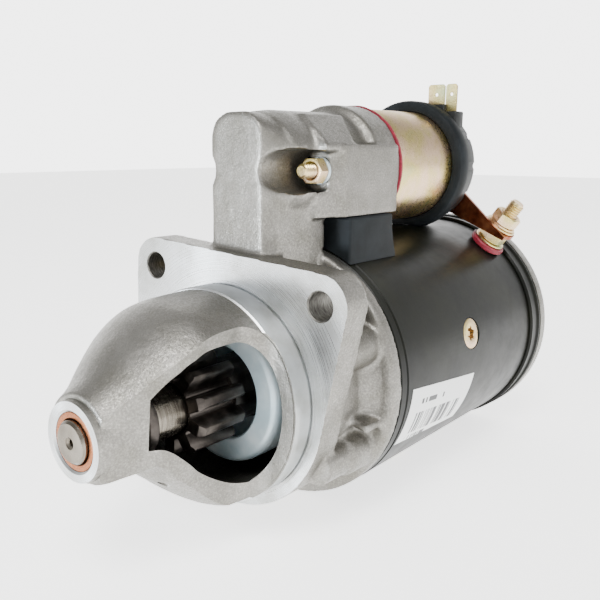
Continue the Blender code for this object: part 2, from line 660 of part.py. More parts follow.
def lever():
    """A forked lever drawn upright about its pivot, then leant back to its rest."""
    inner = GROOVE_LIP_RADIUS + 0.8
    outer = inner + 4.2
    foot = -LOWER_ARM - 4.0
    arch = GROOVE_LIP_RADIUS + 3.5 - LOWER_ARM
    waist = LEVER_SLOT - 1.4
    neck = CAVITY_RADIUS - LOWER_ARM - 8.5
    half = [(inner, foot), (outer, foot), (outer, arch - 6), (waist, neck + 5), (waist, 6)]
    half += [(3.6, UPPER_ARM)]
    fork = [(y, z) for y, z in half] + [(-y, z) for y, z in reversed(half)]
    fork += arc((0, -LOWER_ARM), inner, 180, 0, 11)
    made = extruded("engagement_lever", fork, -2.0, 2.0)
    join(made, rod("lever_eye", -waist, waist, 7.5, 14, (0, 0, 0), (0, 1, 0)))
    join(made, rod("lever_tip", -3.6, 3.6, 2.7, 12, (0, 0, UPPER_ARM), (0, 1, 0)))
    for side in (-1, 1):
        pad = rod("pad", SLEEVE_RADIUS + 0.9, inner + 1, 2.6, 12, (0, 0, -LOWER_ARM), (0, side, 0))
        join(made, pad)
    cut(made, rod("lever_bore", -20, 20, 4.0 + GAP, 14, (0, 0, 0), (0, 1, 0)))
    made.location = PIVOT * MM
    made.rotation_euler.y = -math.radians(LEVER_TILT)
    for modifier in made.modifiers:
        modifier.object.parent = made
    finished(made, "dark_steel")
    start = -TOWER_REAR_HALF_WIDTH + 4.5
    seat = TOWER_REAR_HALF_WIDTH + GAP
    pin = [(start, 0), (start, 4.0), (seat, 4.0), (seat, 7.5), (seat + 4.5, 7.5), (seat + 4.5, 0)]
    finished(turned("lever_pivot_pin", pin, 14, PIVOT, (0, 1, 0)), "yellow_zinc")


def plunger():
    axis = (0, 0, SOLENOID_Z)
    seat = PLUNGER_FRONT + 3.0
    head = PLUNGER_BORE - 1.2
    body = [(PLUNGER_FRONT, 0), (PLUNGER_FRONT, head), (seat, head), (seat, PLUNGER_RADIUS)]
    body += [(PLUNGER_TIP - 1, PLUNGER_RADIUS), (PLUNGER_TIP, PLUNGER_RADIUS - 1)]
    made = turned("plunger", body + [(PLUNGER_TIP, 0)], 16, axis)
    front = LINK_X - 5.2
    join(made, box("link", (front, -6.6, SOLENOID_Z - 3), (PLUNGER_FRONT + 1, 6.6, SOLENOID_Z + 3)))
    eye_low = (LINK_X - 3.1, -4.0, SOLENOID_Z - 4)
    cut(made, box("link_eye", eye_low, (LINK_X + 3.1, 4.0, SOLENOID_Z + 4)))
    finished(made, "ground_steel")
    finished(return_spring(seat + 1.2), "dark_steel")


def return_spring(start):
    wire = 1.2
    coil_radius = 12.6
    turns = 5
    points_a_turn = 9
    end = HOUSING_REAR - wire - GAP
    curve = bpy.data.curves.new("return_spring", "CURVE")
    curve.dimensions = "3D"
    curve.bevel_depth = wire * MM
    curve.bevel_resolution = 2
    curve.use_fill_caps = True
    spline = curve.splines.new("POLY")
    count = turns * points_a_turn
    spline.points.add(count)
    for i, point in enumerate(spline.points):
        y, z = polar(coil_radius, 360 * i / points_a_turn)
        x = start + wire + (end - start - wire) * i / count
        point.co = (x * MM, y * MM, z * MM, 1)
    obj = add_object("return_spring", curve)
    obj.location.z = SOLENOID_Z * MM
    return obj


def solenoid():
    axis = (0, 0, SOLENOID_Z)
    inside = CAN_RADIUS - CAN_WALL
    guide = PLUNGER_RADIUS + 0.5
    plate = CAN_FRONT + 3.0
    back = CAN_REAR - 4.0
    can = [(CAN_FRONT, guide), (CAN_FRONT, CAN_RADIUS - 1), (CAN_FRONT + 1, CAN_RADIUS)]
    can += [(CAN_REAR, CAN_RADIUS), (CAN_REAR, 2.7), (CORE_FACE, 2.7), (CORE_FACE, guide - 0.5)]
    can += [(back, guide - 0.5), (back, inside), (plate, inside), (plate, guide)]
    finished(turned("solenoid_can", can, 28, axis), "yellow_zinc")
    coil = tube("solenoid_coil", plate + GAP, back - GAP, guide + 1.5, inside - GAP, 22, axis)
    finished(coil, "copper")
    rim = HOUSING_RING_RADIUS + 0.3
    gasket = tube("solenoid_gasket", HOUSING_REAR + GAP, CAN_FRONT - GAP, 24.2, rim, 28, axis)
    finished(gasket, "red_gasket")
    band_front = CAN_REAR - 2.8
    band = [(band_front, CAN_RADIUS + GAP), (band_front, RUBBER_BAND_RADIUS - 1)]
    band += [(band_front + 1, RUBBER_BAND_RADIUS), (CAP_FRONT + 5.5, RUBBER_BAND_RADIUS)]
    band += [(CAP_FRONT + 6.5, RUBBER_BAND_RADIUS - 1), (CAP_FRONT + 6.5, CAP_RADIUS + GAP)]
    band += [(CAP_FRONT - 0.1, CAP_RADIUS + GAP), (CAP_FRONT - 0.1, CAN_RADIUS + GAP)]
    band = turned("solenoid_band", band, 28, axis)
    cut(band, rod("band_seat", CAN_REAR - 10, CAP_FRONT + 10, YOKE_RADIUS + GAP, 40))
    finished(band, "rubber")
    cap = [(CAP_REAR, 0), (CAP_REAR, CAP_RADIUS - 2), (CAP_REAR - 2, CAP_RADIUS)]
    cap += [(CAP_FRONT, CAP_RADIUS), (CAP_FRONT, CAP_RADIUS - 6)]
    cap += [(CAP_REAR - 5, CAP_RADIUS - 6), (CAP_REAR - 5, 0)]
    cap.reverse()
    cap = turned("terminal_cap", cap, 28, axis)
    contact = 8.2
    head_front = CAP_FRONT + contact
    for name, (y, z) in {"battery": BATTERY_STUD, "motor": MOTOR_STUD}.items():
        line = (0, y, z)
        hole = rod(f"{name}_hole", CAP_REAR - 8, CAP_REAR + 1, TERMINAL_RADIUS + GAP, 14, line)
        cut(cap, hole)
        tip = CAP_REAR + (22 if name == "battery" else 15)
        neck = CAP_REAR - 5 - GAP
        stud = [(head_front, 0), (head_front, 7.5), (neck, 7.5), (neck, TERMINAL_RADIUS)]
        stud += [(tip - 1, TERMINAL_RADIUS), (tip, TERMINAL_RADIUS - 1), (tip, 0)]
        finished(turned(f"{name}_terminal_stud", stud, 14, line), "copper")
        start = CAP_REAR + (0.5 if name == "battery" else STRAP_THICKNESS + 1.0)
        nut = hex_nut(f"{name}_terminal_nut", start, start + 7, 15, TERMINAL_RADIUS + GAP, line)
        finished(nut, "yellow_zinc")
    for name, (y, width) in BLADES.items():
        cut(cap, blade_root(f"{name}_blade_slot", y, width, GAP))
        finished(blade(f"{name}_blade_terminal", y, width), "yellow_zinc")
    finished(cap, "black_moulding")
    disc = [(CORE_FACE + 0.4, 0), (CORE_FACE + 0.4, 2.3), (CAP_FRONT + 2.4, 2.3)]
    disc += [(CAP_FRONT + 2.4, 12.5), (CAP_FRONT + 5.2, 12.5), (CAP_FRONT + 5.2, 2.3)]
    disc += [(CAP_FRONT + 7.5, 2.3), (CAP_FRONT + 7.5, 0)]
    finished(turned("contact_disc", disc, 14, axis), "copper")


def blade_root(name, y, width, spare):
    """The thinner end of a push-on terminal that is moulded into the cap, or its slot."""
    x = CAP_FRONT + 11.0
    foot = SOLENOID_Z + math.sqrt(CAP_RADIUS**2 - (abs(y) + width / 2) ** 2) - 4
    half = width / 2 - 0.3 + spare
    low = (x - 0.35 - spare, y - half, foot - spare)
    return box(name, low, (x + 0.35 + spare, y + half, BLADE_TOP - 3))


def blade(name, y, width):
    """A flat push-on terminal that stands up out of the cap."""
    x = CAP_FRONT + 11.0
    seat = SOLENOID_Z + math.sqrt(CAP_RADIUS**2 - (abs(y) - width / 2) ** 2) + 0.4
    low = (x - 0.5, y - width / 2, seat)
    terminal = box(name, low, (x + 0.5, y + width / 2, BLADE_TOP))
    return join(terminal, blade_root(f"{name}_root", y, width, 0))


def solenoid_fixings():
    for side, y in (("window", -STUD_OFFSET), ("far", STUD_OFFSET)):
        line = (0, y, SOLENOID_Z)
        tip = SOCKET_FLOOR - 13.5
        stud = [(tip, 0), (tip, STUD_RADIUS - 0.6), (tip + 0.6, STUD_RADIUS)]
        stud += [(CAN_FRONT - GAP, STUD_RADIUS), (CAN_FRONT - GAP, 0)]
        finished(turned(f"fixing_stud_{side}", stud, 12, line), "yellow_zinc")
        bore = STUD_RADIUS + GAP
        start = SOCKET_FLOOR - GAP - 1.6
        washer = tube(f"spring_washer_{side}", start, start + 1.6, bore, 5.6, 14, line)
        finished(washer, "blue_zinc")
        nut = hex_nut(f"fixing_nut_{side}", start - GAP - 5, start - GAP, 10, bore, line)
        finished(nut, "yellow_zinc")


def field_magnets():
    """Pole shoes screwed inside the yoke, with the four joined coils round them."""
    tip = ARMATURE_RADIUS + AIR_GAP
    back = YOKE_BORE - GAP
    front = POLE_X - 35
    rear = POLE_X + 35
    winding = tube("field_winding", front - 8, front - 5, tip + 4.6, tip + 6, 28)
    for i, angle in enumerate(POLE_ANGLES, 1):
        shoe = sector(f"pole_shoe_{i}", tip, tip + 3.5, angle, 33, front - 2, rear + 2)
        join(shoe, sector(f"pole_body_{i}", tip + 1, back, angle, 18, front, rear, 7))
        place = (POLE_X, 0, 0)
        hole = rod(f"pole_tap_{i}", back - 9, back + 8, 4.0 + GAP, 12, place, radial(angle))
        cut(shoe, hole)
        finished(shoe, "laminated_steel")
        coil = sector(f"coil_{i}", tip + 4.2, back - 0.5, angle, 33, front - 9, rear + 7)
        opening = sector(f"coil_eye_{i}", tip, back + 5, angle, 19, front - 1, rear + 1, 5)
        join(winding, cut(coil, opening))
        end, head = YOKE_BORE - 8, YOKE_BORE + 1.2
        screw = [(end, 0), (end, 4.0), (head, 4.0), (head, POLE_SCREW_RADIUS)]
        screw += [(YOKE_RADIUS - GAP, POLE_SCREW_RADIUS), (YOKE_RADIUS - GAP, 0)]
        made = turned(f"pole_screw_{i}", screw, 14, (POLE_X, 0, 0), radial(angle))
        finished(made, "yellow_zinc")
    finished(winding, "copper")


def yoke():
    made = tube("yoke", YOKE_FRONT, YOKE_REAR, YOKE_BORE, YOKE_RADIUS, 40)
    low, high = YOKE_BORE - 7, YOKE_RADIUS + 7
    for i, angle in enumerate(POLE_ANGLES, 1):
        bore = POLE_SCREW_RADIUS + GAP
        cut(made, rod(f"screw_hole_{i}", low, high, bore, 14, (POLE_X, 0, 0), radial(angle)))
    cut(made, rod("field_hole", low, high, 7.0, 14, (FIELD_X, 0, 0), radial(FIELD_ANGLE)))
    finished(made, "black_paint")
    for name, angle in THROUGH_BOLT_ANGLES.items():
        centre = (0, *polar(THROUGH_BOLT_CIRCLE, angle))
        head = END_REAR + GAP
        bolt = [(25, 0), (25, THROUGH_BOLT_RADIUS), (head, THROUGH_BOLT_RADIUS)]
        bolt += [(head, 5.8), (head + 4.5, 5.8), (head + 4.5, 0)]
        finished(turned(f"through_bolt_{name}", bolt, 12, centre), "yellow_zinc")
    low, high = YOKE_RADIUS + GAP, YOKE_RADIUS + 2 * GAP
    finished(sector("rating_label", low, high, 198, 14, 52, 112), "paper")
    top = HOUSING_BOTTOM - GAP
    block = box("splash_block", (YOKE_FRONT + 0.4, -30, 40), (80, 30, top))
    cut(block, rod("yoke_seat", YOKE_FRONT - 5, 90, YOKE_RADIUS + GAP, 40))
    finished(block, "rubber")


def brush_gear():
    plate_front = COMMUTATOR_REAR + 1.5
    plate_rear = plate_front + 2.0
    plate = tube("brush_plate", plate_front, plate_rear, 24, YOKE_BORE - GAP, 28)
    wear = COMMUTATOR_RADIUS + GAP
    reach = plate_front - 4 - BRUSH_LENGTH
    half = BRUSH_WIDTH / 2
    for i in range(4):
        angle = math.radians(33 + 90 * i)
        for side in (-1, 1):
            near, far = sorted((side * (half + GAP), side * (half + 2)))
            cheek = box(f"cheek_{i}_{side}", (reach, near, wear + 2.5), (plate_front + 1, far, 38))
            cheek.rotation_euler.x = angle
            join(plate, cheek)
        brush = box(
            f"brush_{i + 1}", (reach, -half, wear), (reach + BRUSH_LENGTH, half, wear + 13)
        )
        brush.rotation_euler.x = angle
        finished(brush, "carbon")
    for name, angle in THROUGH_BOLT_ANGLES.items():
        centre = (0, *polar(THROUGH_BOLT_CIRCLE, angle))
        hole_radius = THROUGH_BOLT_RADIUS + GAP
        hole = rod(f"plate_hole_{name}", plate_front - 5, plate_rear + 5, hole_radius, 12, centre)
        cut(plate, hole)
    notch = rod("field_notch", YOKE_BORE - 9, YOKE_BORE + 8, 7.5, 14, (FIELD_X, 0, 0), radial(FIELD_ANGLE))
    finished(cut(plate, notch), "blue_zinc")


def end_bracket():
    start = YOKE_REAR + GAP
    spigot = BAND_RADIUS - 3.3
    band = tube("cover_band", start, BAND_REAR, spigot + GAP, BAND_RADIUS, 40)
    finished(band, "black_paint")
    shoulder = BAND_REAR + GAP
    floor = END_REAR - 5.0
    bush = BUSH_RADIUS + 0.9 + GAP
    profile = [(END_REAR - 2.7, 0), (END_REAR - 2.7, bush), (END_REAR - 15.5, bush)]
    profile += [(END_REAR - 15.5, bush + 4.2), (floor, bush + 4.2), (floor, YOKE_BORE)]
    profile += [(start, YOKE_BORE), (start, spigot), (shoulder, spigot)]
    profile += [(shoulder, END_BRACKET_RADIUS), (END_REAR - 1.5, END_BRACKET_RADIUS)]
    profile += [(END_REAR, END_BRACKET_RADIUS - 1.5), (END_REAR, 0)]
    made = turned("end_bracket", profile, 40)
    for name, angle in THROUGH_BOLT_ANGLES.items():
        centre = (0, *polar(THROUGH_BOLT_CIRCLE, angle))
        hole_radius = THROUGH_BOLT_RADIUS + GAP
        cut(made, rod(f"end_hole_{name}", YOKE_REAR - 9, END_REAR + 9, hole_radius, 12, centre))
    finished(made, "cast_aluminium")


def field_terminal():
    """The stud through the yoke, its insulator and nuts, and the strap from the solenoid."""
    out = radial(FIELD_ANGLE)
    base = (FIELD_X, 0, 0)
    seat = YOKE_RADIUS + GAP
    root, neck = YOKE_BORE - 6, YOKE_BORE - 3
    stud = [(root, 0), (root, 6.0), (neck, 6.0), (neck, FIELD_STUD_RADIUS)]
    stud += [(FIELD_TIP - 1, FIELD_STUD_RADIUS), (FIELD_TIP, FIELD_STUD_RADIUS - 1)]
    finished(turned("field_terminal_stud", stud + [(FIELD_TIP, 0)], 14, base, out), "yellow_zinc")
    bore = FIELD_STUD_RADIUS + GAP
    insulator = [(YOKE_BORE - 1, bore), (YOKE_BORE - 1, 6.6), (seat, 6.6), (seat, 9.4)]
    insulator += [(seat + 3.0, 9.4), (seat + 3.0, bore)]
    finished(turned("field_insulator", insulator, 14, base, out), "red_gasket")
    nut = hex_nut("field_lower_nut", seat + 3.3, STRAP_HEIGHT - GAP, 12, bore, base, out)
    finished(nut, "yellow_zinc")
    top = STRAP_HEIGHT + STRAP_THICKNESS + GAP
    nut = hex_nut("field_upper_nut", top, top + 7, 12, bore, base, out)
    finished(nut, "yellow_zinc")
    finished(copper_strap(), "copper")


def copper_strap():
    """A flat bar bent from the solenoid's motor stud down to the stud on the yoke."""
    near = CAP_REAR + 0.4
    far = near + STRAP_THICKNESS
    top = STRAP_HEIGHT + STRAP_THICKNESS
    along = Vector(polar(1, FIELD_ANGLE))
    across = Vector((-along.y, along.x))
    foot = []
    for height in (STRAP_HEIGHT, top):
        foot += [height * along + side * (STRAP_EYE - 1) * across for side in (-1, 1)]
    ring = arc(MOTOR_STUD, STRAP_EYE, 0, 360, 21) + [tuple(point) for point in foot]
    strap = hull("copper_strap", [(x, y, z) for x in (near, far) for y, z in ring])
    eye = [(x, side * (STRAP_EYE - 1)) for x in (near, FIELD_X) for side in (-1, 1)]
    eye += arc((FIELD_X, 0), STRAP_EYE, -90, 90, 13)
    flat = hull(
        "strap_foot",
        [(x, *(h * along + t * across)) for h in (STRAP_HEIGHT, top) for x, t in eye],
    )
    join(strap, flat)
    bore = FIELD_STUD_RADIUS + GAP
    place = (FIELD_X, 0, 0)
    low, high = STRAP_HEIGHT - 9, STRAP_HEIGHT + 11
    cut(strap, rod("strap_hole", low, high, bore, 14, place, radial(FIELD_ANGLE)))
    line = (0, *MOTOR_STUD)
    return cut(strap, rod("strap_eye", near - 5, far + 5, TERMINAL_RADIUS + GAP, 14, line))


clear_scene()
STARTER = new_collection("starter_motor", False)
CONSTRUCTION = new_collection("construction", True)
drive_end_bracket()
bushes_and_centre_plate()
armature()
drive()
lever()
plunger()
solenoid()
solenoid_fixings()
yoke()
field_magnets()
brush_gear()
end_bracket()
field_terminal()
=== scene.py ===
"""Looks of a pre-engaged starter motor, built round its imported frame.

Lengths in this script are in millimetres until a mesh is made; MM turns them to metres.
+X runs along the shaft to the brush end, -X to the pinion nose, +Z up to the solenoid.
Angles about the motor's axis are in degrees from +Y towards +Z.
"""

import json
import math

import bpy
from mathutils import Matrix, Vector


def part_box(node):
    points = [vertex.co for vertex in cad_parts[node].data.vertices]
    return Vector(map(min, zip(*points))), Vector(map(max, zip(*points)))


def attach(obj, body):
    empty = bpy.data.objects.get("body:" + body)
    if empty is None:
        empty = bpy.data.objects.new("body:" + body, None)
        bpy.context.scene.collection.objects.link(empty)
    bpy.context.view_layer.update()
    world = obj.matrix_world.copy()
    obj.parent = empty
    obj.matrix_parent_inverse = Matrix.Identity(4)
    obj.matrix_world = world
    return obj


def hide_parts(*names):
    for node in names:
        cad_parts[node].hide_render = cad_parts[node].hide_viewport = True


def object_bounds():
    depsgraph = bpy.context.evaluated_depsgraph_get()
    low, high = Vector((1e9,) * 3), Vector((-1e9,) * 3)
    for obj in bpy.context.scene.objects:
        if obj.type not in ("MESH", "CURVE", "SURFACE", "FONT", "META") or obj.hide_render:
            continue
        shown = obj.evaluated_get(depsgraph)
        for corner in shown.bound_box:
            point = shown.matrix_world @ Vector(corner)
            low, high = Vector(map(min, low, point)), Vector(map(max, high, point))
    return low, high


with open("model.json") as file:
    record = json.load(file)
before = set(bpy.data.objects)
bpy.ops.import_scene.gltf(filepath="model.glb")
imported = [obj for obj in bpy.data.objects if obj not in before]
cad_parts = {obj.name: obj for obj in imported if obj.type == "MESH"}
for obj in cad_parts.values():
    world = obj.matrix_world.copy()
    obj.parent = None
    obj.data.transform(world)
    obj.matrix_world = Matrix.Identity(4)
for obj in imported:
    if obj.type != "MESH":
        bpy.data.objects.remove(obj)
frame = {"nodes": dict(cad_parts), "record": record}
CAD_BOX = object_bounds()
MM = 0.001
FINE = 96  # sides of a large round piece
SMALL = 40  # sides of a small one


def span(node, axis):
    """Lowest and highest coordinate of a CAD node along axis 0, 1 or 2, in millimetres."""
    low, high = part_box(node)
    return low[axis] / MM, high[axis] / MM


# Stations and radii read from the frame
YOKE_FRONT, YOKE_REAR = span("yoke", 0)
YOKE_RADIUS = span("yoke", 2)[1]
BAND_FRONT, BAND_REAR = span("cover_band", 0)
BAND_RADIUS = span("cover_band", 2)[1]
END_FRONT, END_REAR = span("end_bracket", 0)
END_RADIUS = span("end_bracket", 2)[1]
NOSE_FRONT = span("drive_end_bracket", 0)[0]
HOUSING_REAR = span("drive_end_bracket", 0)[1]
SHAFT_TIP = span("armature_shaft", 0)[0]
COLLAR_FRONT, COLLAR_REAR = span("thrust_collar", 0)
COLLAR_RADIUS = span("thrust_collar", 2)[1]
BUSH_FRONT, BUSH_REAR = span("nose_bush", 0)
BUSH_RADIUS = span("nose_bush", 2)[1]
PINION_FRONT, PINION_HUB_END = span("pinion", 0)
CLUTCH_FRONT, CLUTCH_REAR = span("clutch_shell", 0)
CLUTCH_RADIUS = span("clutch_shell", 2)[1]
CAN_FRONT, CAN_REAR = span("solenoid_can", 0)
SOLENOID_Z = sum(span("solenoid_can", 2)) / 2
CAN_RADIUS = span("solenoid_can", 2)[1] - SOLENOID_Z
CAP_FRONT, CAP_REAR = span("terminal_cap", 0)
CAP_RADIUS = span("terminal_cap", 2)[1] - SOLENOID_Z
RUBBER_FRONT, RUBBER_REAR = span("solenoid_band", 0)
RUBBER_RADIUS = span("solenoid_band", 2)[1] - SOLENOID_Z
GASKET_FRONT, GASKET_REAR = span("solenoid_gasket", 0)
BLOCK_FRONT, BLOCK_REAR = span("splash_block", 0)
BLOCK_SIDE = span("splash_block", 1)[1]
HOUSING_BOTTOM = span("splash_block", 2)[1] + 0.3

# Sizes of the casting
PILOT_RADIUS = 44.45
PILOT_LENGTH = 12.0
FLANGE_THICKNESS = 14.0
FLANGE_RADIUS = 50.0
BOLT_CIRCLE = 63.5  # radius
BOLT_HOLE = 5.6
EAR_RADIUS = 12.3
EAR_ANGLES = (-43.0, 49.0, 139.0)
CAVITY_RADIUS = 38.0
NECK_RADIUS = 46.0
RING_WIDTH = 6.8
RING_REAR = YOKE_FRONT - 0.3
TOWER_FRONT = 7.0
TOWER_TOP = 112.5
CAST_GRAIN = 0.95  # side of the cells that the cast skin is made from
HOUSING_RADIUS = 24.5
MOUTH_RADIUS = 28.3
MOUTH_FRONT = 68.0
STUD_OFFSET = 20.5
SOCKET_RADIUS = 8.8
SOCKET_FLOOR = 36.5
THROUGH_BOLT_CIRCLE = 48.0
THROUGH_BOLT_ANGLES = {"window": -147.0, "far": 33.0}
POLE_ANGLES = (168.0, 78.0, -12.0, -102.0)
POLE_X = 110.0
FIELD_ANGLE = 126.0
FIELD_X = 169.7

# Solenoid terminals and the label
SOLENOID_AXIS = (0, 0, SOLENOID_Z)
BATTERY_STUD = (9.0, 101.6)  # y and z
MOTOR_STUD = (-9.0, 77.0)
BLADES = {"wide": (-10.0, 9.5), "narrow": (-18.6, 6.3)}  # y and width
LABEL_CENTRE = Vector((82.0, -55.0, -18.5))
LABEL_TURN = math.radians(6.0)
LABEL_SIZE = (60.0, 28.0)


# --- Nodes and materials -------------------------------------------------------------------


def linear(colour):
    """An sRGB hex colour as linear red, green, blue and alpha."""
    channels = [int(colour[i : i + 2], 16) / 255 for i in (1, 3, 5)]
    return [c / 12.92 if c <= 0.04045 else ((c + 0.055) / 1.055) ** 2.4 for c in channels] + [1]


def add_node(material, kind, settings=None, links=None):
    """Adds a node, sets its own settings and inputs, and links inputs to other nodes' outputs."""
    tree = material.node_tree
    node = tree.nodes.new("ShaderNode" + kind)
    for key, value in (settings or {}).items():
        if isinstance(key, str) and hasattr(node, key):
            setattr(node, key, value)
        else:
            node.inputs[key].default_value = value
    for key, (source, output) in (links or {}).items():
        tree.links.new(source.outputs[output], node.inputs[key])
    return node


def new_material(name, colour, roughness, metallic=0.0, **sockets):
    """A material whose Principled shader has these values, and that shader."""
    material = bpy.data.materials.new(name)
    material.use_nodes = True
    shader = material.node_tree.nodes["Principled BSDF"]
    shader.inputs["Base Color"].default_value = linear(colour)
    shader.inputs["Roughness"].default_value = roughness
    shader.inputs["Metallic"].default_value = metallic
    for key, value in sockets.items():
        shader.inputs[key.replace("_", " ")].default_value = value
    return material, shader


def grain(material, size, detail=3.0, roughness=0.5, stretch=(1, 1, 1), seed=(0, 0, 0)):
    """Noise in object space whose grains are about size millimetres across."""
    place = add_node(material, "TexCoord")
    mapped = add_node(
        material,
        "Mapping",
        {"Scale": [s / (size * MM) for s in stretch], "Location": seed},
        {"Vector": (place, "Object")},
    )
    settings = {"Scale": 1.0, "Detail": detail, "Roughness": roughness}
    return add_node(material, "TexNoise", settings, {"Vector": (mapped, "Vector")})


def ramp(material, source, output, stops):
    """A colour ramp over a value. Stops are (place, hex colour) or (place, grey)."""
    node = add_node(material, "ValToRGB", links={"Fac": (source, output)})
    elements = node.color_ramp.elements
    while len(elements) < len(stops):
        elements.new(0.5)
    for element, (place, value) in zip(elements, stops):
        element.position = place
        element.color = linear(value) if isinstance(value, str) else (value, value, value, 1)
    return node


def connect(material, source, output, target, socket):
    """Links one node's output to another node's socket."""
    material.node_tree.links.new(source.outputs[output], target.inputs[socket])


def toned(material, shader, pattern, stops, socket="Base Color"):
    """Sends a pattern through a ramp to one of the shader's sockets."""
    connect(material, ramp(material, pattern, "Fac", stops), "Color", shader, socket)


def add_bump(material, shader, source, output, height, strength=1.0, after=None):
    """Bump of a height in millimetres from a value; another bump can come first."""
    links = {"Height": (source, output)}
    if after:
        links["Normal"] = (after, "Normal")
    node = add_node(material, "Bump", {"Distance": height * MM, "Strength": strength}, links)
    connect(material, node, "Normal", shader, "Normal")
    return node


def cast_aluminium():
    """Aluminium from a sand-textured mould: a grey, grainy skin, a little cloudy."""
    material, shader = new_material("cast_aluminium", "#93948F", 0.5, 1.0)
    clouds = grain(material, 16, 3, 0.6)
    tone = ramp(material, clouds, "Fac", [(0.3, "#7C7A73"), (0.55, "#8B8984"), (0.75, "#999791")])
    # Real grit is about 0.3 mm; it is drawn at 0.8 mm so that it still shows.
    grit = grain(material, 0.8, 4, 0.7)
    specks = ramp(material, grit, "Fac", [(0.34, "#84827D"), (0.5, "#A2A09D"), (0.68, "#E6E5E2")])
    blend = {"data_type": "RGBA", "blend_type": "OVERLAY", 0: 0.4}
    mix = add_node(material, "Mix", blend, {6: (tone, "Color"), 7: (specks, "Color")})
    connect(material, mix, 2, shader, "Base Color")
    sheen = ramp(material, grit, "Fac", [(0.35, 0.56), (0.5, 0.44), (0.68, 0.3)])
    connect(material, sheen, "Color", shader, "Roughness")
    skin = grain(material, 3.2, 3, 0.6, seed=(3, 1, 2))
    first = add_bump(material, shader, skin, "Fac", 0.45, 0.5)
    add_bump(material, shader, grit, "Fac", 0.18, 0.7, first)
    return material


def machined_aluminium():
    """The same casting where a lathe has faced it: bright, with rings about the motor's axis."""
    material, shader = new_material("machined_aluminium", "#B4B6B6", 0.3, 1.0, Anisotropic=0.8)
    place = add_node(material, "TexCoord")
    parts = add_node(material, "SeparateXYZ", links={"Vector": (place, "Object")})
    back = add_node(material, "Math", {"operation": "MULTIPLY", 1: -1.0}, {0: (parts, "Z")})
    ring = add_node(material, "CombineXYZ", {"X": 0.0}, {"Y": (back, "Value"), "Z": (parts, "Y")})
    along = add_node(material, "VectorMath", {"operation": "NORMALIZE"}, {0: (ring, "Vector")})
    connect(material, along, "Vector", shader, "Tangent")
    stains = grain(material, 18, 4, 0.6, seed=(5, 2, 8))
    toned(material, shader, stains, [(0.35, "#AFB0AD"), (0.5, "#C2C4C4"), (0.7, "#D0D3D5")])
    radius = add_node(material, "VectorMath", {"operation": "LENGTH"}, {0: (ring, "Vector")})
    # Feed marks about 0.5 mm apart, from noise that only changes with the radius.
    feed = add_node(material, "CombineXYZ", {"Y": 0.0, "Z": 0.0}, {"X": (radius, "Value")})
    settings = {"Scale": 1 / (0.5 * MM), "Detail": 2.0}
    lines = add_node(material, "TexNoise", settings, {"Vector": (feed, "Vector")})
    toned(material, shader, lines, [(0.3, 0.22), (0.7, 0.36)], "Roughness")
    add_bump(material, shader, lines, "Fac", 0.02, 0.5)
    return material


def shaded_bore_aluminium():
    """The walls of drilled holes: torn by the drill, and darkened as painted shade inside the
    holes.
    """
    # The dark base colour and the dark end of the ramp are painted shade for the inside of the
    # holes.
    material, shader = new_material("shaded_bore_aluminium", "#6E6C66", 0.55, 1.0)
    scores = grain(material, 0.7, 3, 0.6, stretch=(1, 0.3, 0.3))
    toned(material, shader, scores, [(0.3, "#4E4B46"), (0.6, "#7C7A74"), (0.8, "#A3A19B")])
    add_bump(material, shader, scores, "Fac", 0.12, 0.6)
    return material


def black_paint():
    """Satin black stoving paint on steel tube, with faint orange peel and dust."""
    material, shader = new_material(
        "black_paint", "#0F100D", 0.34, 0.0, IOR=1.5, Specular_IOR_Level=0.14
    )
    dust = grain(material, 30, 4, 0.6)
    toned(material, shader, dust, [(0.35, "#0C0D0B"), (0.7, "#16170F")])
    rub = grain(material, 9, 4, 0.6, seed=(1, 7, 2))
    toned(material, shader, rub, [(0.3, 0.28), (0.7, 0.4)], "Roughness")
    peel = grain(material, 1.6, 2, 0.5)
    add_bump(material, shader, peel, "Fac", 0.03, 0.35)
    return material


def yellow_zinc():
    """Zinc plate with a yellow chromate film: straw, with pink and green bands."""
    material, shader = new_material("yellow_zinc", "#C9B87B", 0.27, 1.0)
    film = grain(material, 26, 3, 0.55, seed=(2, 9, 4))
    stops = [(0.28, "#A9B48C"), (0.42, "#CDBB7C"), (0.54, "#DDBFA0"), (0.66, "#C5B06E")]
    toned(material, shader, film, stops + [(0.8, "#B7BE9A")])
    rub = grain(material, 1.2, 3, 0.6)
    toned(material, shader, rub, [(0.3, 0.24), (0.7, 0.36)], "Roughness")
    add_bump(material, shader, rub, "Fac", 0.02, 0.4)
    return material


def blue_zinc():
    """Zinc plate with a clear blue chromate film: pale and cold."""
    material, shader = new_material("blue_zinc", "#C3D3D9", 0.36, 0.35)
    film = grain(material, 12, 3, 0.55)
    toned(material, shader, film, [(0.35, "#AFC4CC"), (0.65, "#D2DEE2")])
    add_bump(material, shader, grain(material, 0.8, 3, 0.6), "Fac", 0.02, 0.4)
    return material


def sintered_bronze():
    """Oil-soaked sintered bronze of a bush: brown-pink and finely pored."""
    material, shader = new_material("sintered_bronze", "#B8734C", 0.42, 1.0)
    pores = grain(material, 0.5, 3, 0.6)
    toned(material, shader, pores, [(0.3, "#74402A"), (0.5, "#98603F"), (0.75, "#B57D5C")])
    add_bump(material, shader, pores, "Fac", 0.04, 0.5)
    return material


def ground_steel():
    """A shaft ground between centres: bright, with fine lines round it and a film of oil."""
    material, shader = new_material("ground_steel", "#9C988F", 0.24, 1.0)
    lines = grain(material, 0.5, 2, 0.5, stretch=(1, 0.04, 0.04))
    toned(material, shader, lines, [(0.3, "#5C554B"), (0.7, "#8E887D")])
    oil = grain(material, 7, 3, 0.6)
    toned(material, shader, oil, [(0.35, 0.18), (0.7, 0.38)], "Roughness")
    return material


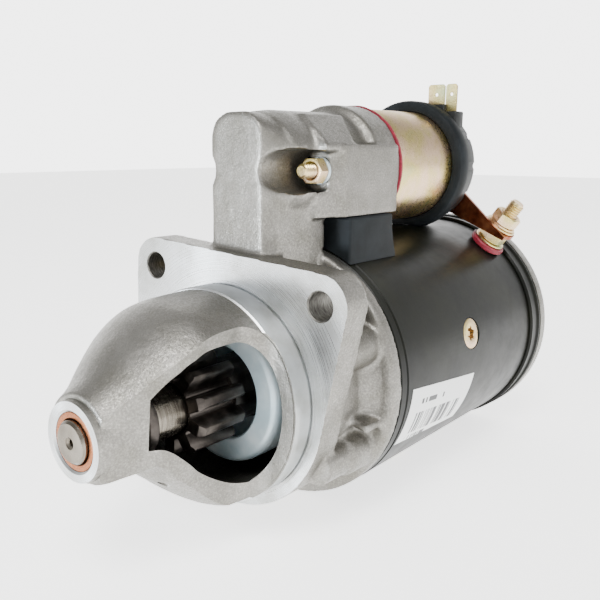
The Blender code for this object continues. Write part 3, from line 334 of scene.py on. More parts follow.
def oiled_steel():
    """Hardened gear steel, dark from heat treatment and wet with grease."""
    material, shader = new_material("oiled_steel", "#4B4642", 0.36, 1.0)
    grease = grain(material, 6, 4, 0.6)
    toned(material, shader, grease, [(0.3, "#383431"), (0.55, "#4F4A46"), (0.8, "#6B655E")])
    toned(material, shader, grease, [(0.35, 0.28), (0.65, 0.5)], "Roughness")
    add_bump(material, shader, grain(material, 0.9, 3, 0.6), "Fac", 0.05, 0.5)
    return material


def laminated_steel():
    """Stacked steel sheets, seen as close lines across the shaft."""
    material, shader = new_material("laminated_steel", "#6E6B66", 0.5, 1.0)
    sheets = grain(material, 0.8, 1, 0.5, stretch=(1, 0.02, 0.02))
    toned(material, shader, sheets, [(0.4, "#55524D"), (0.6, "#7C7973")])
    add_bump(material, shader, sheets, "Fac", 0.1, 0.6)
    return material


def tarnished_copper():
    """Hard copper bar, browned by air."""
    material, shader = new_material("tarnished_copper", "#9A5335", 0.34, 1.0)
    tarnish = grain(material, 7, 4, 0.6)
    toned(material, shader, tarnish, [(0.3, "#6E3521"), (0.55, "#A05A3A"), (0.8, "#C58358")])
    add_bump(material, shader, grain(material, 1.0, 3, 0.6), "Fac", 0.03, 0.4)
    return material


def moulded_rubber():
    """Black rubber with a matt moulded skin that has dulled to dark grey."""
    material, shader = new_material(
        "moulded_rubber", "#0F1315", 0.6, 0.0, IOR=1.52, Specular_IOR_Level=0.16
    )
    bloom = grain(material, 10, 3, 0.6)
    toned(material, shader, bloom, [(0.35, "#0C1012"), (0.7, "#171C1F")])
    add_bump(material, shader, grain(material, 0.7, 3, 0.6), "Fac", 0.05, 0.4)
    return material


def red_fibre():
    """Vulcanised fibre sheet, dyed red."""
    material, shader = new_material("red_fibre", "#7C1628", 0.5, 0.0, IOR=1.5)
    fibre = grain(material, 1.2, 4, 0.6)
    toned(material, shader, fibre, [(0.3, "#64101F"), (0.7, "#8F1E33")])
    add_bump(material, shader, fibre, "Fac", 0.04, 0.4)
    return material


def phenolic():
    """Black phenolic moulding with a faintly grey, filled surface."""
    material, shader = new_material(
        "phenolic", "#141615", 0.42, 0.0, IOR=1.6, Specular_IOR_Level=0.2
    )
    filler = grain(material, 2.5, 4, 0.6)
    toned(material, shader, filler, [(0.35, "#101211"), (0.7, "#1D1F1E")])
    add_bump(material, shader, filler, "Fac", 0.05, 0.4)
    return material


def carbon():
    """Copper-carbon brush block, dull with coppery specks."""
    material, shader = new_material("carbon", "#2B2B2D", 0.6, 0.2)
    specks = grain(material, 0.6, 3, 0.7)
    toned(material, shader, specks, [(0.55, "#2B2B2D"), (0.75, "#6B4A3A")])
    return material


def printed_label():
    """White coated paper printed with three rows of plain bars and no writing."""
    material, shader = new_material("printed_label", "#E6E8E6", 0.38, 0.0, IOR=1.5)
    place = add_node(material, "TexCoord")
    turn = {"vector_type": "TEXTURE", "Location": LABEL_CENTRE * MM, "Rotation": (0, LABEL_TURN, 0)}
    label = add_node(material, "Mapping", turn, {"Vector": (place, "Object")})
    parts = add_node(material, "SeparateXYZ", links={"Vector": (label, "Vector")})
    printed = None
    # Each row: the width of its marks, the share left blank, its ends along and its ends across.
    rows = ((0.62, 0.42, (-23, 22), (-8.0, 2.0)), (1.5, 0.3, (-20, 2), (6.0, 8.4)))
    rows += ((0.95, 0.35, (-23, -1), (-11.6, -9.4)),)
    for width, blank, along, across in rows:
        cell = add_node(
            material, "Math", {"operation": "DIVIDE", 1: width * MM}, {0: (parts, "X")}
        )
        step = add_node(material, "Math", {"operation": "FLOOR"}, {0: (cell, "Value")})
        dice = add_node(
            material, "TexWhiteNoise", {"noise_dimensions": "1D"}, {"W": (step, "Value")}
        )
        ink = add_node(
            material, "Math", {"operation": "GREATER_THAN", 1: blank}, {0: (dice, "Value")}
        )
        for socket, (low, high) in (("X", along), ("Z", across)):
            reach = {"operation": "COMPARE", 1: (low + high) / 2 * MM, 2: (high - low) / 2 * MM}
            gate = add_node(material, "Math", reach, {0: (parts, socket)})
            ink = add_node(
                material, "Math", {"operation": "MULTIPLY"}, {0: (ink, "Value"), 1: (gate, "Value")}
            )
        if printed:
            both = {0: (ink, "Value"), 1: (printed, "Value")}
            ink = add_node(material, "Math", {"operation": "MAXIMUM"}, both)
        printed = ink
    mix = add_node(
        material, "Mix", {"data_type": "RGBA", 6: linear("#E9EAE9"), 7: linear("#2B2B2D")},
        {0: (printed, "Value")},
    )
    connect(material, mix, 2, shader, "Base Color")
    return material


# --- Modelling -----------------------------------------------------------------------------


def take(obj):
    """Makes one object the only one selected, and the active one."""
    bpy.ops.object.select_all(action="DESELECT")
    obj.select_set(True)
    bpy.context.view_layer.objects.active = obj
    return obj


def settle(obj):
    """Puts an object's place and turn into its mesh."""
    take(obj)
    bpy.ops.object.transform_apply(location=True, rotation=True, scale=True)
    return obj


def tidy_faces():
    """Merges what meets, in edit mode, and points every face outwards."""
    bpy.ops.mesh.select_all(action="SELECT")
    bpy.ops.mesh.remove_doubles(threshold=0.002 * MM)
    bpy.ops.mesh.normals_make_consistent(inside=False)


def draw(name, points):
    """Draws a line from point to point by extruding one vertex, and stays in edit mode."""
    bpy.ops.object.select_all(action="DESELECT")
    bpy.ops.mesh.primitive_plane_add(size=MM)
    obj = bpy.context.object
    obj.name = name
    bpy.ops.object.mode_set(mode="EDIT")
    bpy.ops.mesh.merge(type="CENTER")
    bpy.ops.transform.translate(value=Vector(points[0]) * MM)
    for start, end in zip(points, points[1:]):
        step = (Vector(end) - Vector(start)) * MM
        bpy.ops.mesh.extrude_vertices_move(TRANSFORM_OT_translate={"value": step})
    return obj


def point_along(obj, at, along):
    """Turns an object that was drawn along X to another direction, through a point."""
    obj.rotation_mode = "QUATERNION"
    obj.rotation_quaternion = Vector((1, 0, 0)).rotation_difference(Vector(along))
    obj.location = Vector(at) * MM
    return settle(obj)


def turned(name, profile, steps=FINE, at=(0, 0, 0), along=(1, 0, 0)):
    """Spins an (x, radius) line about X. A line that starts off the axis is closed to a ring."""
    points = [(x, 0, radius) for x, radius in profile]
    if profile[0][1] > 0:
        points.append(points[0])
    obj = draw(name, points)
    bpy.ops.mesh.select_all(action="SELECT")
    bpy.ops.mesh.spin(steps=steps, angle=2 * math.pi, center=(0, 0, 0), axis=(1, 0, 0))
    tidy_faces()
    bpy.ops.object.mode_set(mode="OBJECT")
    return point_along(obj, at, along)


def rod(name, start, end, radius, steps=SMALL, at=(0, 0, 0), along=(1, 0, 0)):
    """A plain round cutter or blank, from the cylinder primitive."""
    bpy.ops.object.select_all(action="DESELECT")
    bpy.ops.mesh.primitive_cylinder_add(
        vertices=steps,
        radius=radius * MM,
        depth=(end - start) * MM,
        rotation=(0, math.pi / 2, 0),
        location=((start + end) / 2 * MM, 0, 0),
    )
    obj = bpy.context.object
    obj.name = name
    settle(obj)
    return point_along(obj, at, along)


def block(name, low, high):
    """A box between two corners, from the cube primitive."""
    bpy.ops.object.select_all(action="DESELECT")
    middle = [(a + b) / 2 * MM for a, b in zip(low, high)]
    size = [(b - a) * MM for a, b in zip(low, high)]
    bpy.ops.mesh.primitive_cube_add(size=1, location=middle, scale=size)
    bpy.context.object.name = name
    return settle(bpy.context.object)


def plate(name, outline, low, high, axis=0):
    """A flat outline, drawn in the plane across an axis, then extruded along it."""
    order = {0: (0, 1, 2), 1: (1, 0, 2), 2: (1, 2, 0)}[axis]
    points = []
    for u, v in outline:
        values = (low, u, v)
        points.append([values[i] for i in order])
    obj = draw(name, points)
    bpy.ops.mesh.select_all(action="SELECT")
    bpy.ops.mesh.edge_face_add()
    step = [0, 0, 0]
    step[axis] = (high - low) * MM
    bpy.ops.mesh.extrude_region_move(TRANSFORM_OT_translate={"value": step})
    tidy_faces()
    bpy.ops.object.mode_set(mode="OBJECT")
    return obj


def joined(name, objects):
    """Several objects as one, each with its own surface."""
    bpy.ops.object.select_all(action="DESELECT")
    for obj in objects:
        obj.select_set(True)
    bpy.context.view_layer.objects.active = objects[0]
    bpy.ops.object.join()
    objects[0].name = name
    return objects[0]


def wrapped(name, objects):
    """The convex skin round several objects."""
    obj = joined(name, objects)
    bpy.ops.object.mode_set(mode="EDIT")
    bpy.ops.mesh.select_all(action="SELECT")
    bpy.ops.mesh.convex_hull()
    tidy_faces()
    bpy.ops.object.mode_set(mode="OBJECT")
    return obj


def modified(obj, kind, **settings):
    """Adds a modifier with its settings and applies it."""
    modifier = obj.modifiers.new(kind, kind)
    for key, value in settings.items():
        setattr(modifier, key, value)
    take(obj)
    bpy.ops.object.modifier_apply(modifier=modifier.name)
    return obj


def boolean(target, tool, operation="DIFFERENCE"):
    """Cuts, joins or trims by a tool, which is used up. New faces keep the tool's material."""
    modified(target, "BOOLEAN", operation=operation, object=tool, material_mode="TRANSFER")
    bpy.data.objects.remove(tool)
    return target


def rounded(obj, width, segments=2, angle=34):
    """Rounds every edge that is sharper than an angle."""
    return modified(
        obj, "BEVEL", width=width * MM, segments=segments, limit_method="ANGLE",
        angle_limit=math.radians(angle), harden_normals=False,
    )


def smooth(obj, angle=32):
    """Shades an object smooth except at edges sharper than an angle."""
    take(obj)
    bpy.ops.object.shade_smooth_by_angle(angle=math.radians(angle))
    return obj


def painted(obj, material):
    """Gives an object one material and no other."""
    obj.data.materials.clear()
    obj.data.materials.append(material)
    return obj


def polar(radius, degrees):
    angle = math.radians(degrees)
    return radius * math.cos(angle), radius * math.sin(angle)


def arc(centre, radius, start, end, count):
    angles = [start + (end - start) * i / (count - 1) for i in range(count)]
    return [(centre[0] + polar(radius, a)[0], centre[1] + polar(radius, a)[1]) for a in angles]


def radial(degrees):
    return (0, *polar(1, degrees))


def at_angle(radius, degrees):
    return (0, *polar(radius, degrees))


def smooth_run(knots, x):
    """Reads a smooth curve through (x, value) knots."""
    if x <= knots[0][0]:
        return knots[0][1]
    if x >= knots[-1][0]:
        return knots[-1][1]
    i = max(k for k in range(len(knots) - 1) if knots[k][0] <= x)
    slopes = []
    for k in (i, i + 1):
        low, high = max(k - 1, 0), min(k + 1, len(knots) - 1)
        slopes.append((knots[high][1] - knots[low][1]) / (knots[high][0] - knots[low][0]))
    (x0, y0), (x1, y1) = knots[i], knots[i + 1]
    width = x1 - x0
    t = (x - x0) / width
    rise = (1 + 2 * t) * (1 - t) ** 2 * y0 + t * t * (3 - 2 * t) * y1
    return rise + width * t * (1 - t) * ((1 - t) * slopes[0] - t * slopes[1])


def piece(obj, body, nodes, material=None, angle=32):
    """Finishes a piece: shading, material, body and the nodes it stands for."""
    if material:
        painted(obj, material)
    smooth(obj, angle)
    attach(obj, body)
    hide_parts(*([nodes] if isinstance(nodes, str) else nodes))
    return obj


# --- The drive end casting -----------------------------------------------------------------

HUMP = ((-73.2, 16.6), (-69.0, 18.9), (-65.3, 21.4), (-57.3, 28.2), (-49.3, 34.6))
HUMP += ((-45.2, 37.5), (-40.1, 40.4), (-36.0, 42.0), (-30.0, 43.0), (-8.5, 43.8))
CHIN = ((-54.0, 15.4), (-49.6, 18.6), (-47.4, 22.2), (-43.0, 25.8), (-36.4, 31.4))
CHIN += ((-27.0, 38.4), (-20.0, 42.4), (-14.0, 43.8), (-8.5, 43.8))
HUMP_INSIDE = ((-57.3, 23.4), (-53.7, 27.0), (-49.8, 30.6), (-43.4, 35.2), (-36.5, 38.0))
HUMP_INSIDE += ((-27.0, 38.6), (-8.0, CAVITY_RADIUS + 0.2))
CHIN_INSIDE = ((-57.3, 9.0), (-51.2, 11.2), (-45.1, 16.3), (-35.8, 24.6), (-20.9, 33.0))
CHIN_INSIDE += ((-8.0, CAVITY_RADIUS + 0.2),)
POCKET_FRONT = -47.3  # where the room for the teeth begins
NOSE_REAR = -4.0
TRIM_TOP = 60.0  # the trimming rings reach this high, so that they only shape the underside
WINDOW_TILT = 5.7  # degrees
WINDOW_CORNER = 12.5
WINDOW_REAR = -9.7


def nose_solid(name, crown, chin, start, end, stations=36):
    """A round form that follows one curve, trimmed underneath by rings to follow another."""

    def ring(x):
        low = smooth_run(chin, x)
        return (TRIM_TOP + low) / 2, (TRIM_TOP - low) / 2

    step = (end - start) / stations
    along = [start + step * i for i in range(stations + 1)]
    profile = [(start, 0)] + [(x, smooth_run(crown, x)) for x in along]
    form = turned(name, profile + [(end, 0)])
    radius, rise = ring(start - 1)
    bpy.ops.object.select_all(action="DESELECT")
    bpy.ops.mesh.primitive_circle_add(
        vertices=FINE,
        radius=radius * MM,
        fill_type="NGON",
        rotation=(0, math.pi / 2, 0),
        location=((start - 1) * MM, 0, rise * MM),
    )
    trim = settle(bpy.context.object)
    bpy.ops.object.mode_set(mode="EDIT")
    bpy.ops.mesh.select_all(action="SELECT")
    for i in range(stations + 1):
        x = start + (step * i if i < stations else end + 1 - start)
        new_radius, new_rise = ring(x)
        way = step if 0 < i < stations else step + 1 if i else 1
        push = (way * MM, 0, (new_rise - rise) * MM)
        bpy.ops.mesh.extrude_region_move(TRANSFORM_OT_translate={"value": push})
        scale = new_radius / radius
        centre = (x * MM, 0, new_rise * MM)
        bpy.ops.transform.resize(value=(1, scale, scale), center_override=centre)
        radius, rise = new_radius, new_rise
    tidy_faces()
    bpy.ops.object.mode_set(mode="OBJECT")
    return boolean(form, trim, "INTERSECT")


def window_cutter(rear=WINDOW_REAR):
    """The opening beside the pinion: it follows the hump's flank, then turns across the pilot."""
    corner = (rear - WINDOW_CORNER, -35.2)
    outline = [(-85.0, -66.0), (-85.0, -9.3), (-76.0, -11.4), (-65.0, -14.2), (-56.0, -17.8)]
    outline += [(-47.0, -21.2), (-41.0, -22.5), (-33.0, -22.7)]
    outline += arc(corner, WINDOW_CORNER, 90, 0, 13)
    outline.append((rear, -66.0))
    cutter = plate("window", outline, -62, 62, 2)
    cutter.rotation_euler = (math.radians(WINDOW_TILT), 0, 0)
    return settle(cutter)


def as_cast(obj, voxel, passes, waviness):
    """Gives sharp solids the rounded, slightly uneven skin of a casting."""
    modified(obj, "REMESH", mode="VOXEL", voxel_size=voxel * MM, use_smooth_shade=True)
    modified(obj, "SMOOTH", factor=0.5, iterations=passes)
    swell = bpy.data.textures.new(obj.name + "_swell", "CLOUDS")
    swell.noise_scale = 9 * MM
    return modified(
        obj, "DISPLACE", texture=swell, texture_coords="LOCAL", strength=waviness * MM,
        mid_level=0.5,
    )


def nose_piece(cast, machined):
    """The hump over the pinion and the boss that holds the nose bush."""
    nose = nose_solid("bracket_nose", HUMP, CHIN, HUMP[0][0], NOSE_REAR)
    painted(nose, cast)
    as_cast(nose, 0.66, 2, 0.2)
    boolean(nose, painted(window_cutter(), cast))
    boss = [(NOSE_FRONT - 0.6, 0), (NOSE_FRONT - 0.6, 14.3), (-74.5, 14.75), (-57.4, 16.5)]
    boss = turned("boss", boss + [(-56.6, 15.6), (-56.6, 0)], FINE)
    boolean(nose, painted(boss, cast), "UNION")
    inside = nose_solid("inside", HUMP_INSIDE, CHIN_INSIDE, -56.9, NOSE_REAR + 1)
    boolean(nose, painted(inside, cast))
    pocket = [(-56.9, 0), (-56.9, COLLAR_RADIUS + 0.4), (POCKET_FRONT, COLLAR_RADIUS + 0.4)]
    pocket += [(POCKET_FRONT, 19.9), (-12, 19.9), (-12, 0)]
    boolean(nose, painted(turned("pocket", pocket, FINE), cast))
    drain = rod("drain", 10, 40, 2.6, 24, (-43.5, 0, 0), radial(-112))
    boolean(nose, painted(drain, cast))
    bore = [(NOSE_FRONT - 4, 0), (NOSE_FRONT - 4, 12.6), (NOSE_FRONT, 11.5)]
    bore += [(NOSE_FRONT + 0.7, BUSH_RADIUS + 0.1), (-50, BUSH_RADIUS + 0.1), (-50, 0)]
    boolean(nose, painted(turned("bore", bore), machined))
    face = [(NOSE_FRONT - 4, 0), (NOSE_FRONT - 4, 30), (NOSE_FRONT, 30), (NOSE_FRONT, 0)]
    boolean(nose, painted(turned("face", face), machined))
    return piece(nose, "frame_and_case", "drive_end_bracket")


def flange_blank():
    """The three-eared flange: straight edges between round ears and a round back."""
    thick = FLANGE_THICKNESS
    parts = [rod("disc", -1, thick, FLANGE_RADIUS, FINE)]
    for angle in EAR_ANGLES:
        parts.append(rod("ear", -1, thick, EAR_RADIUS, 48, at_angle(BOLT_CIRCLE, angle)))
    return wrapped("flange", parts)


def skirt_blank():
    """The neck behind the flange and the ring that the yoke butts against."""
    front = RING_REAR - RING_WIDTH
    profile = [(6, 0), (6, NECK_RADIUS), (front - 7, NECK_RADIUS), (front - 3, NECK_RADIUS + 1.5)]
    profile += [(front - 0.6, NECK_RADIUS + 5.5), (front, YOKE_RADIUS - 1.5)]
    profile += [(front + 0.8, YOKE_RADIUS), (RING_REAR, YOKE_RADIUS), (RING_REAR, 0)]
    parts = [turned("skirt", profile)]
    for angle in THROUGH_BOLT_ANGLES.values():
        centre = at_angle(THROUGH_BOLT_CIRCLE, angle)
        parts.append(rod("bolt_boss", 8, RING_REAR - 1, 8.0, SMALL, centre))
        parts.append(rod("bolt_pad", 24, RING_REAR - 1, 9.2, SMALL, centre))
    return parts


def rib(name, angle, inner, outer, half, low, high):
    """A web between the flange and the ring."""
    web = block(name, (low, inner, -half), (high, outer, half))
    web.rotation_euler.x = math.radians(angle)
    return settle(web)


def tower_blank():
    """The lever's housing: a narrow front with chamfered sides, under a rounded crown."""
    plan = [(TOWER_FRONT, 13.3), (13.0, 17.3), (30.0, 19.6), (40.0, 20.0)]
    plan += [(x, -y) for x, y in reversed(plan)]
    tower = plate("tower", plan, 36, SOLENOID_Z + 4, 2)
    shoulder = 9.6
    front = [(13.2, 84.0)] + arc((3.6, TOWER_TOP - shoulder), shoulder, 0, 90, 9)
    front += arc((-3.6, TOWER_TOP - shoulder), shoulder, 90, 180, 9) + [(-13.2, 84.0)]
    face = plate("face", front, TOWER_FRONT, TOWER_FRONT + 2)
    back = rod("back", 19, 21, HOUSING_RADIUS - 1.5, 48, SOLENOID_AXIS)
    return [tower, wrapped("crown", [face, back])]


def housing_blank():
    """The round plunger housing with flat cheeks, and the ring at its mouth."""
    radius = HOUSING_RADIUS
    profile = [(18, 0), (18, radius - 0.8), (26, radius), (MOUTH_FRONT - 1.5, radius + 0.2)]
    profile += [(MOUTH_FRONT + 1.5, MOUTH_RADIUS), (HOUSING_REAR, MOUTH_RADIUS), (HOUSING_REAR, 0)]
    barrel = turned("barrel", profile, FINE, SOLENOID_AXIS)
    side = 28.8
    plan = [(SOCKET_FLOOR - 6, 21.5), (SOCKET_FLOOR + 6.5, side), (HOUSING_REAR - 3, side)]
    plan += [(HOUSING_REAR, side - 3)]
    plan += [(x, -y) for x, y in reversed(plan)]
    cheeks = plate("cheeks", plan, HOUSING_BOTTOM, SOLENOID_Z + 10.5, 2)
    peak = block("peak_front", (34, -12, 104), (36, 12, 112.6))
    sill = block("peak_sill", (30, -28.4, 97), (50, 28.4, SOLENOID_Z + 10.5))
    tail = block("peak_tail", (58, -14, 104), (60, 14, 112.4))
    hood = wrapped("hood", [peak, sill, tail])
    return [barrel, cheeks, hood]


def body_piece(cast, machined, bored):
    """Flange, skirt, lever tower and solenoid housing, in one casting with the nose."""
    blank = PILOT_RADIUS + 0.8
    parts = [flange_blank(), rod("pilot", -PILOT_LENGTH - 0.8, 4, blank, FINE)]
    parts += skirt_blank() + tower_blank() + housing_blank()
    parts.append(rib("web_low", -166, 44, 54.5, 1.7, 26, RING_REAR - 1))
    parts.append(rib("web_far", 14, 44, 54.5, 1.7, 26, RING_REAR - 1))
    lug = rod("lug", 10, RING_REAR - 1, 8.5, SMALL, at_angle(47, 156))
    parts.append(lug)
    body = joined("bracket_body", parts)
    modified(body, "REMESH", mode="VOXEL", voxel_size=CAST_GRAIN * MM)
    under = block("under", (40.5, -50, 30), (HOUSING_REAR - 4, 50, HOUSING_BOTTOM))
    keep = rod("keep", 0, RING_REAR, YOKE_RADIUS + 1, FINE)
    boolean(under, keep)
    boolean(body, under)
    cavity = rod("cavity", -PILOT_LENGTH - 3, RING_REAR + 2, CAVITY_RADIUS, FINE)
    register = rod("register", RING_REAR - RING_WIDTH, RING_REAR + 2, CAVITY_RADIUS + 5.3, FINE)
    slot = block("slot", (12.5, -7.6, 30), (38.5, 7.6, SOLENOID_Z + 8))
    bore = rod("bore", SOCKET_FLOOR - 0.3, HOUSING_REAR + 2, 16, FINE, SOLENOID_AXIS)
    for tool in (cavity, register, slot, bore):
        boolean(body, tool)
    for side in (-1, 1):
        line = (0, side * STUD_OFFSET, SOLENOID_Z)
        flare = [(-9, 0), (-9, SOCKET_RADIUS), (30.5, SOCKET_RADIUS)]
        flare += [(SOCKET_FLOOR - 0.6, SOCKET_RADIUS), (SOCKET_FLOOR, SOCKET_RADIUS - 1.2)]
        boolean(body, turned("socket", flare + [(SOCKET_FLOOR, 0)], 48, line))
    painted(body, cast)
    as_cast(body, CAST_GRAIN, 2, 0.24)
    groove = PILOT_RADIUS - 0.5
    facing = [(0, groove), (-1.0, groove), (-1.0, PILOT_RADIUS), (-11.4, PILOT_RADIUS)]
    facing += [(-PILOT_LENGTH, 43.9), (-PILOT_LENGTH, 30), (-20, 30), (-20, 90), (0, 90)]
    boolean(body, painted(turned("facing", facing, 160), machined))
    boolean(body, painted(window_cutter(WINDOW_REAR + 0.4), cast))
    bore = [(-3, 0), (-3, BOLT_HOLE + 3.5), (0.5, BOLT_HOLE), (18, BOLT_HOLE), (18, 0)]
    holes = [turned("hole", bore, 48, at_angle(BOLT_CIRCLE, a)) for a in EAR_ANGLES]
    boolean(body, painted(joined("holes", holes), bored))
    return piece(body, "frame_and_case", "drive_end_bracket")


# --- Shaft, bush and drive -----------------------------------------------------------------


def bush_piece(bronze):
    inner = 8.35
    profile = [(BUSH_FRONT - 0.2, inner), (BUSH_FRONT - 0.2, BUSH_RADIUS), (BUSH_REAR, BUSH_RADIUS)]
    bush = rounded(turned("bush_of_nose", profile + [(BUSH_REAR, inner)], 64), 0.4)
    return piece(bush, "frame_and_case", "nose_bush", bronze)


def shaft_piece(ground):
    """The armature shaft: a centre-drilled end, its journal and a shoulder behind the collar."""
    tip = SHAFT_TIP
    profile = [(tip + 3.2, 0), (tip + 2.6, 0.9), (tip + 0.9, 1.2), (tip, 2.3), (tip, 6.9)]
    profile += [(tip + 1.0, 7.9), (COLLAR_FRONT - 1, 7.9), (COLLAR_FRONT - 1, 10.1), (54, 10.1)]
    profile += [(54, 11.9), (172.2, 11.9), (172.2, 8.0), (END_REAR - 4.7, 8.0), (END_REAR - 4.7, 0)]
    shaft = turned("shaft_of_armature", profile, 72)
    return piece(shaft, "armature", "armature_shaft", ground)


def collar_piece(dark):
    profile = [(COLLAR_FRONT, 10.3), (COLLAR_FRONT, COLLAR_RADIUS), (COLLAR_REAR, COLLAR_RADIUS)]
    collar = rounded(turned("stop_collar", profile + [(COLLAR_REAR, 10.3)], 64), 0.6, 3)
    return piece(collar, "armature", "thrust_collar", dark)


def pinion_piece(dark):
    """Ten stubby teeth with rounded crowns and a chamfered leading end, on a plain hub."""
    teeth, module = 10, 3.175
    tip, root = module * (teeth + 2) / 2, module * (teeth - 2.5) / 2
    outline = []
    for i in range(teeth):
        middle = 360 / teeth * (i + 0.5)
        half = [(root, 0.5), (root - 0.1, 0.42), (root + 0.5, 0.34), (14.6, 0.295), (16.4, 0.245)]
        half += [(17.9, 0.195), (tip - 0.35, 0.155), (tip, 0.1)]
        for radius, share in half:
            outline.append(polar(radius, middle - share * 36))
        for radius, share in reversed(half[1:]):
            outline.append(polar(radius, middle + share * 36))
    gear = plate("gear", outline, PINION_FRONT, -8.0)
    ends = [(PINION_FRONT, 0), (PINION_FRONT, tip - 2.2), (PINION_FRONT + 2.2, tip + 0.1)]
    ends += [(-8.8, tip + 0.1), (-8.0, tip - 0.8), (-8.0, 0)]
    boolean(gear, turned("ends", ends, 80), "INTERSECT")
    hub = [(-9.0, 0), (-9.0, 14.0), (PINION_HUB_END, 14.0), (PINION_HUB_END, 0)]
    boolean(gear, turned("hub", hub, 64), "UNION")
    bore = [(PINION_FRONT - 2, 0), (PINION_FRONT - 2, 12.6), (PINION_FRONT + 1.0, 10.4)]
    boolean(gear, turned("bore", bore + [(PINION_HUB_END + 2, 10.4), (PINION_HUB_END + 2, 0)], 64))
    gear.name = "gear_of_drive"
    rounded(gear, 0.3, 2, 25)
    return piece(gear, "pinion_gear", "pinion", dark, 28)


def clutch_piece(blue):
    """The pressed cup of the one-way clutch, rolled over at its mouth."""
    front, rear, outer = CLUTCH_FRONT, CLUTCH_REAR, CLUTCH_RADIUS
    roll = 3.4  # radius of the rolled edge
    profile = [(front + 0.6, 20.0), (front, 20.6), (front, outer - 3.2)]
    profile += [
        (front + roll - roll * math.cos(t), outer - roll + roll * math.sin(t))
        for t in [math.radians(a) for a in (15, 30, 45, 60, 75, 90)]
    ]
    profile += [(rear - 1, outer), (rear, outer - 1), (rear, 14.7), (rear - 3, 14.7)]
    profile += [(rear - 3, outer - 3), (front + 3, outer - 3), (front + 3, 20.0)]
    cup = turned("cup_of_clutch", profile, FINE)
    return piece(cup, "drive", "clutch_shell", blue, 28)


# --- Fasteners -----------------------------------------------------------------------------


def thread(start, end, radius, pitch=1.25, depth=0.55):
    """The outline of a threaded length, from start to end, as (x, radius) points."""
    turns = int(abs(end - start) / pitch)
    way = (end - start) / turns
    points = []
    for i in range(turns):
        points.append((start + way * (i + 0.1), radius - depth))
        points.append((start + way * (i + 0.45), radius))
        points.append((start + way * (i + 0.65), radius))
    return points + [(end, radius - depth)]


def stud_piece(name, tip, root, radius, at, along, body, node, material, threaded=12.0):
    """A stud with a chamfered, threaded end at tip and a plain shank to root."""
    way = 1 if root > tip else -1
    profile = [(tip, 0), (tip, radius - 0.9)]
    profile += thread(tip + way * 0.7, tip + way * threaded, radius)
    profile += [(tip + way * (threaded + 0.6), radius), (root, radius), (root, 0)]
    if way < 0:
        profile.reverse()
    stud = turned(name, profile, SMALL, at, along)
    return piece(stud, body, node, material, 20)


def nut_piece(name, start, end, flats, bore, at, along, node, material, both=True):
    """A hexagon nut, its corners turned down at its ends, with a countersunk bore."""
    hexagon = rod(name, start, end, flats / math.sqrt(3), 6, (0, 0, 0))
    corner = flats / math.sqrt(3)
    slope = (corner - flats / 2) * 0.62
    turn = [(start, 0), (start, flats / 2 - 0.1), (start + slope, corner + 0.1)]
    if both:
        turn += [(end - slope, corner + 0.1), (end, flats / 2 - 0.1), (end, 0)]
    else:
        turn += [(end, corner + 0.1), (end, 0)]
    boolean(hexagon, turned("corners", turn, 64), "INTERSECT")
    hole = [(start - 1, 0), (start - 1, bore + 1.7), (start + 0.8, bore), (end - 0.8, bore)]
    boolean(hexagon, turned("hole", hole + [(end + 1, bore + 1.7), (end + 1, 0)], SMALL))
    rounded(hexagon, 0.15, 1, 25)
    point_along(hexagon, at, along)
    return piece(hexagon, "frame_and_case", node, material, 20)


# --- Solenoid ------------------------------------------------------------------------------


def can_piece(zinc):
    """The drawn steel can of the solenoid, with its inner tube."""
    front, rear, radius = CAN_FRONT, CAN_REAR, CAN_RADIUS
    core_face = 117.0
    profile = [(front, 10.6), (front, radius - 2.0), (front + 0.5, radius - 0.6)]
    profile += [(front + 1.6, radius), (rear - 0.6, radius), (rear, radius - 0.6)]
    profile += [(rear, 2.8), (core_face, 2.8), (core_face, 10.0)]
    profile += [(rear - 4, 10.0), (rear - 4, radius - 2.2), (front + 3, radius - 2.2)]
    can = turned("shell_of_solenoid", profile + [(front + 3, 10.6)], 128, SOLENOID_AXIS)
    return piece(can, "frame_and_case", "solenoid_can", zinc)


def gasket_piece(red):
    """The sheet gasket between housing and can, a little proud and wavy all round."""
    outer = MOUTH_RADIUS + 0.5
    profile = [(GASKET_FRONT - 0.1, 24.2), (GASKET_FRONT - 0.1, outer), (GASKET_REAR + 0.1, outer)]
    ring = turned("gasket_of_solenoid", profile + [(GASKET_REAR + 0.1, 24.2)], FINE, SOLENOID_AXIS)
    rounded(ring, 0.25)
    swell = bpy.data.textures.new("gasket_swell", "CLOUDS")
    swell.noise_scale = 6 * MM
    modified(
        ring, "DISPLACE", texture=swell, texture_coords="LOCAL", strength=0.5 * MM, mid_level=0.5
    )
    return piece(ring, "frame_and_case", "solenoid_gasket", red)


def rubber_ring(rubber):
    """The rubber sleeve over the joint of can and cap, rounded, and seated on the yoke."""
    front, rear, outer = RUBBER_FRONT, RUBBER_REAR, RUBBER_RADIUS
    profile = [(front + 0.4, CAN_RADIUS + 0.2), (front, CAN_RADIUS + 0.8), (front, outer - 2.2)]
    profile += [(front + 0.7, outer - 0.8), (front + 2.2, outer), (rear - 2.0, outer)]
    profile += [(rear - 0.5, outer - 0.8), (rear, outer - 1.8), (rear, CAP_RADIUS + 0.3)]
    profile += [(CAP_FRONT - 0.1, CAP_RADIUS + 0.3), (CAP_FRONT - 0.1, CAN_RADIUS + 0.2)]
    sleeve = turned("sleeve_of_solenoid", profile, FINE, SOLENOID_AXIS)
    boolean(sleeve, rod("seat", RUBBER_FRONT - 8, RUBBER_REAR + 8, YOKE_RADIUS + 0.25, 128))
    return piece(sleeve, "frame_and_case", "solenoid_band", rubber)


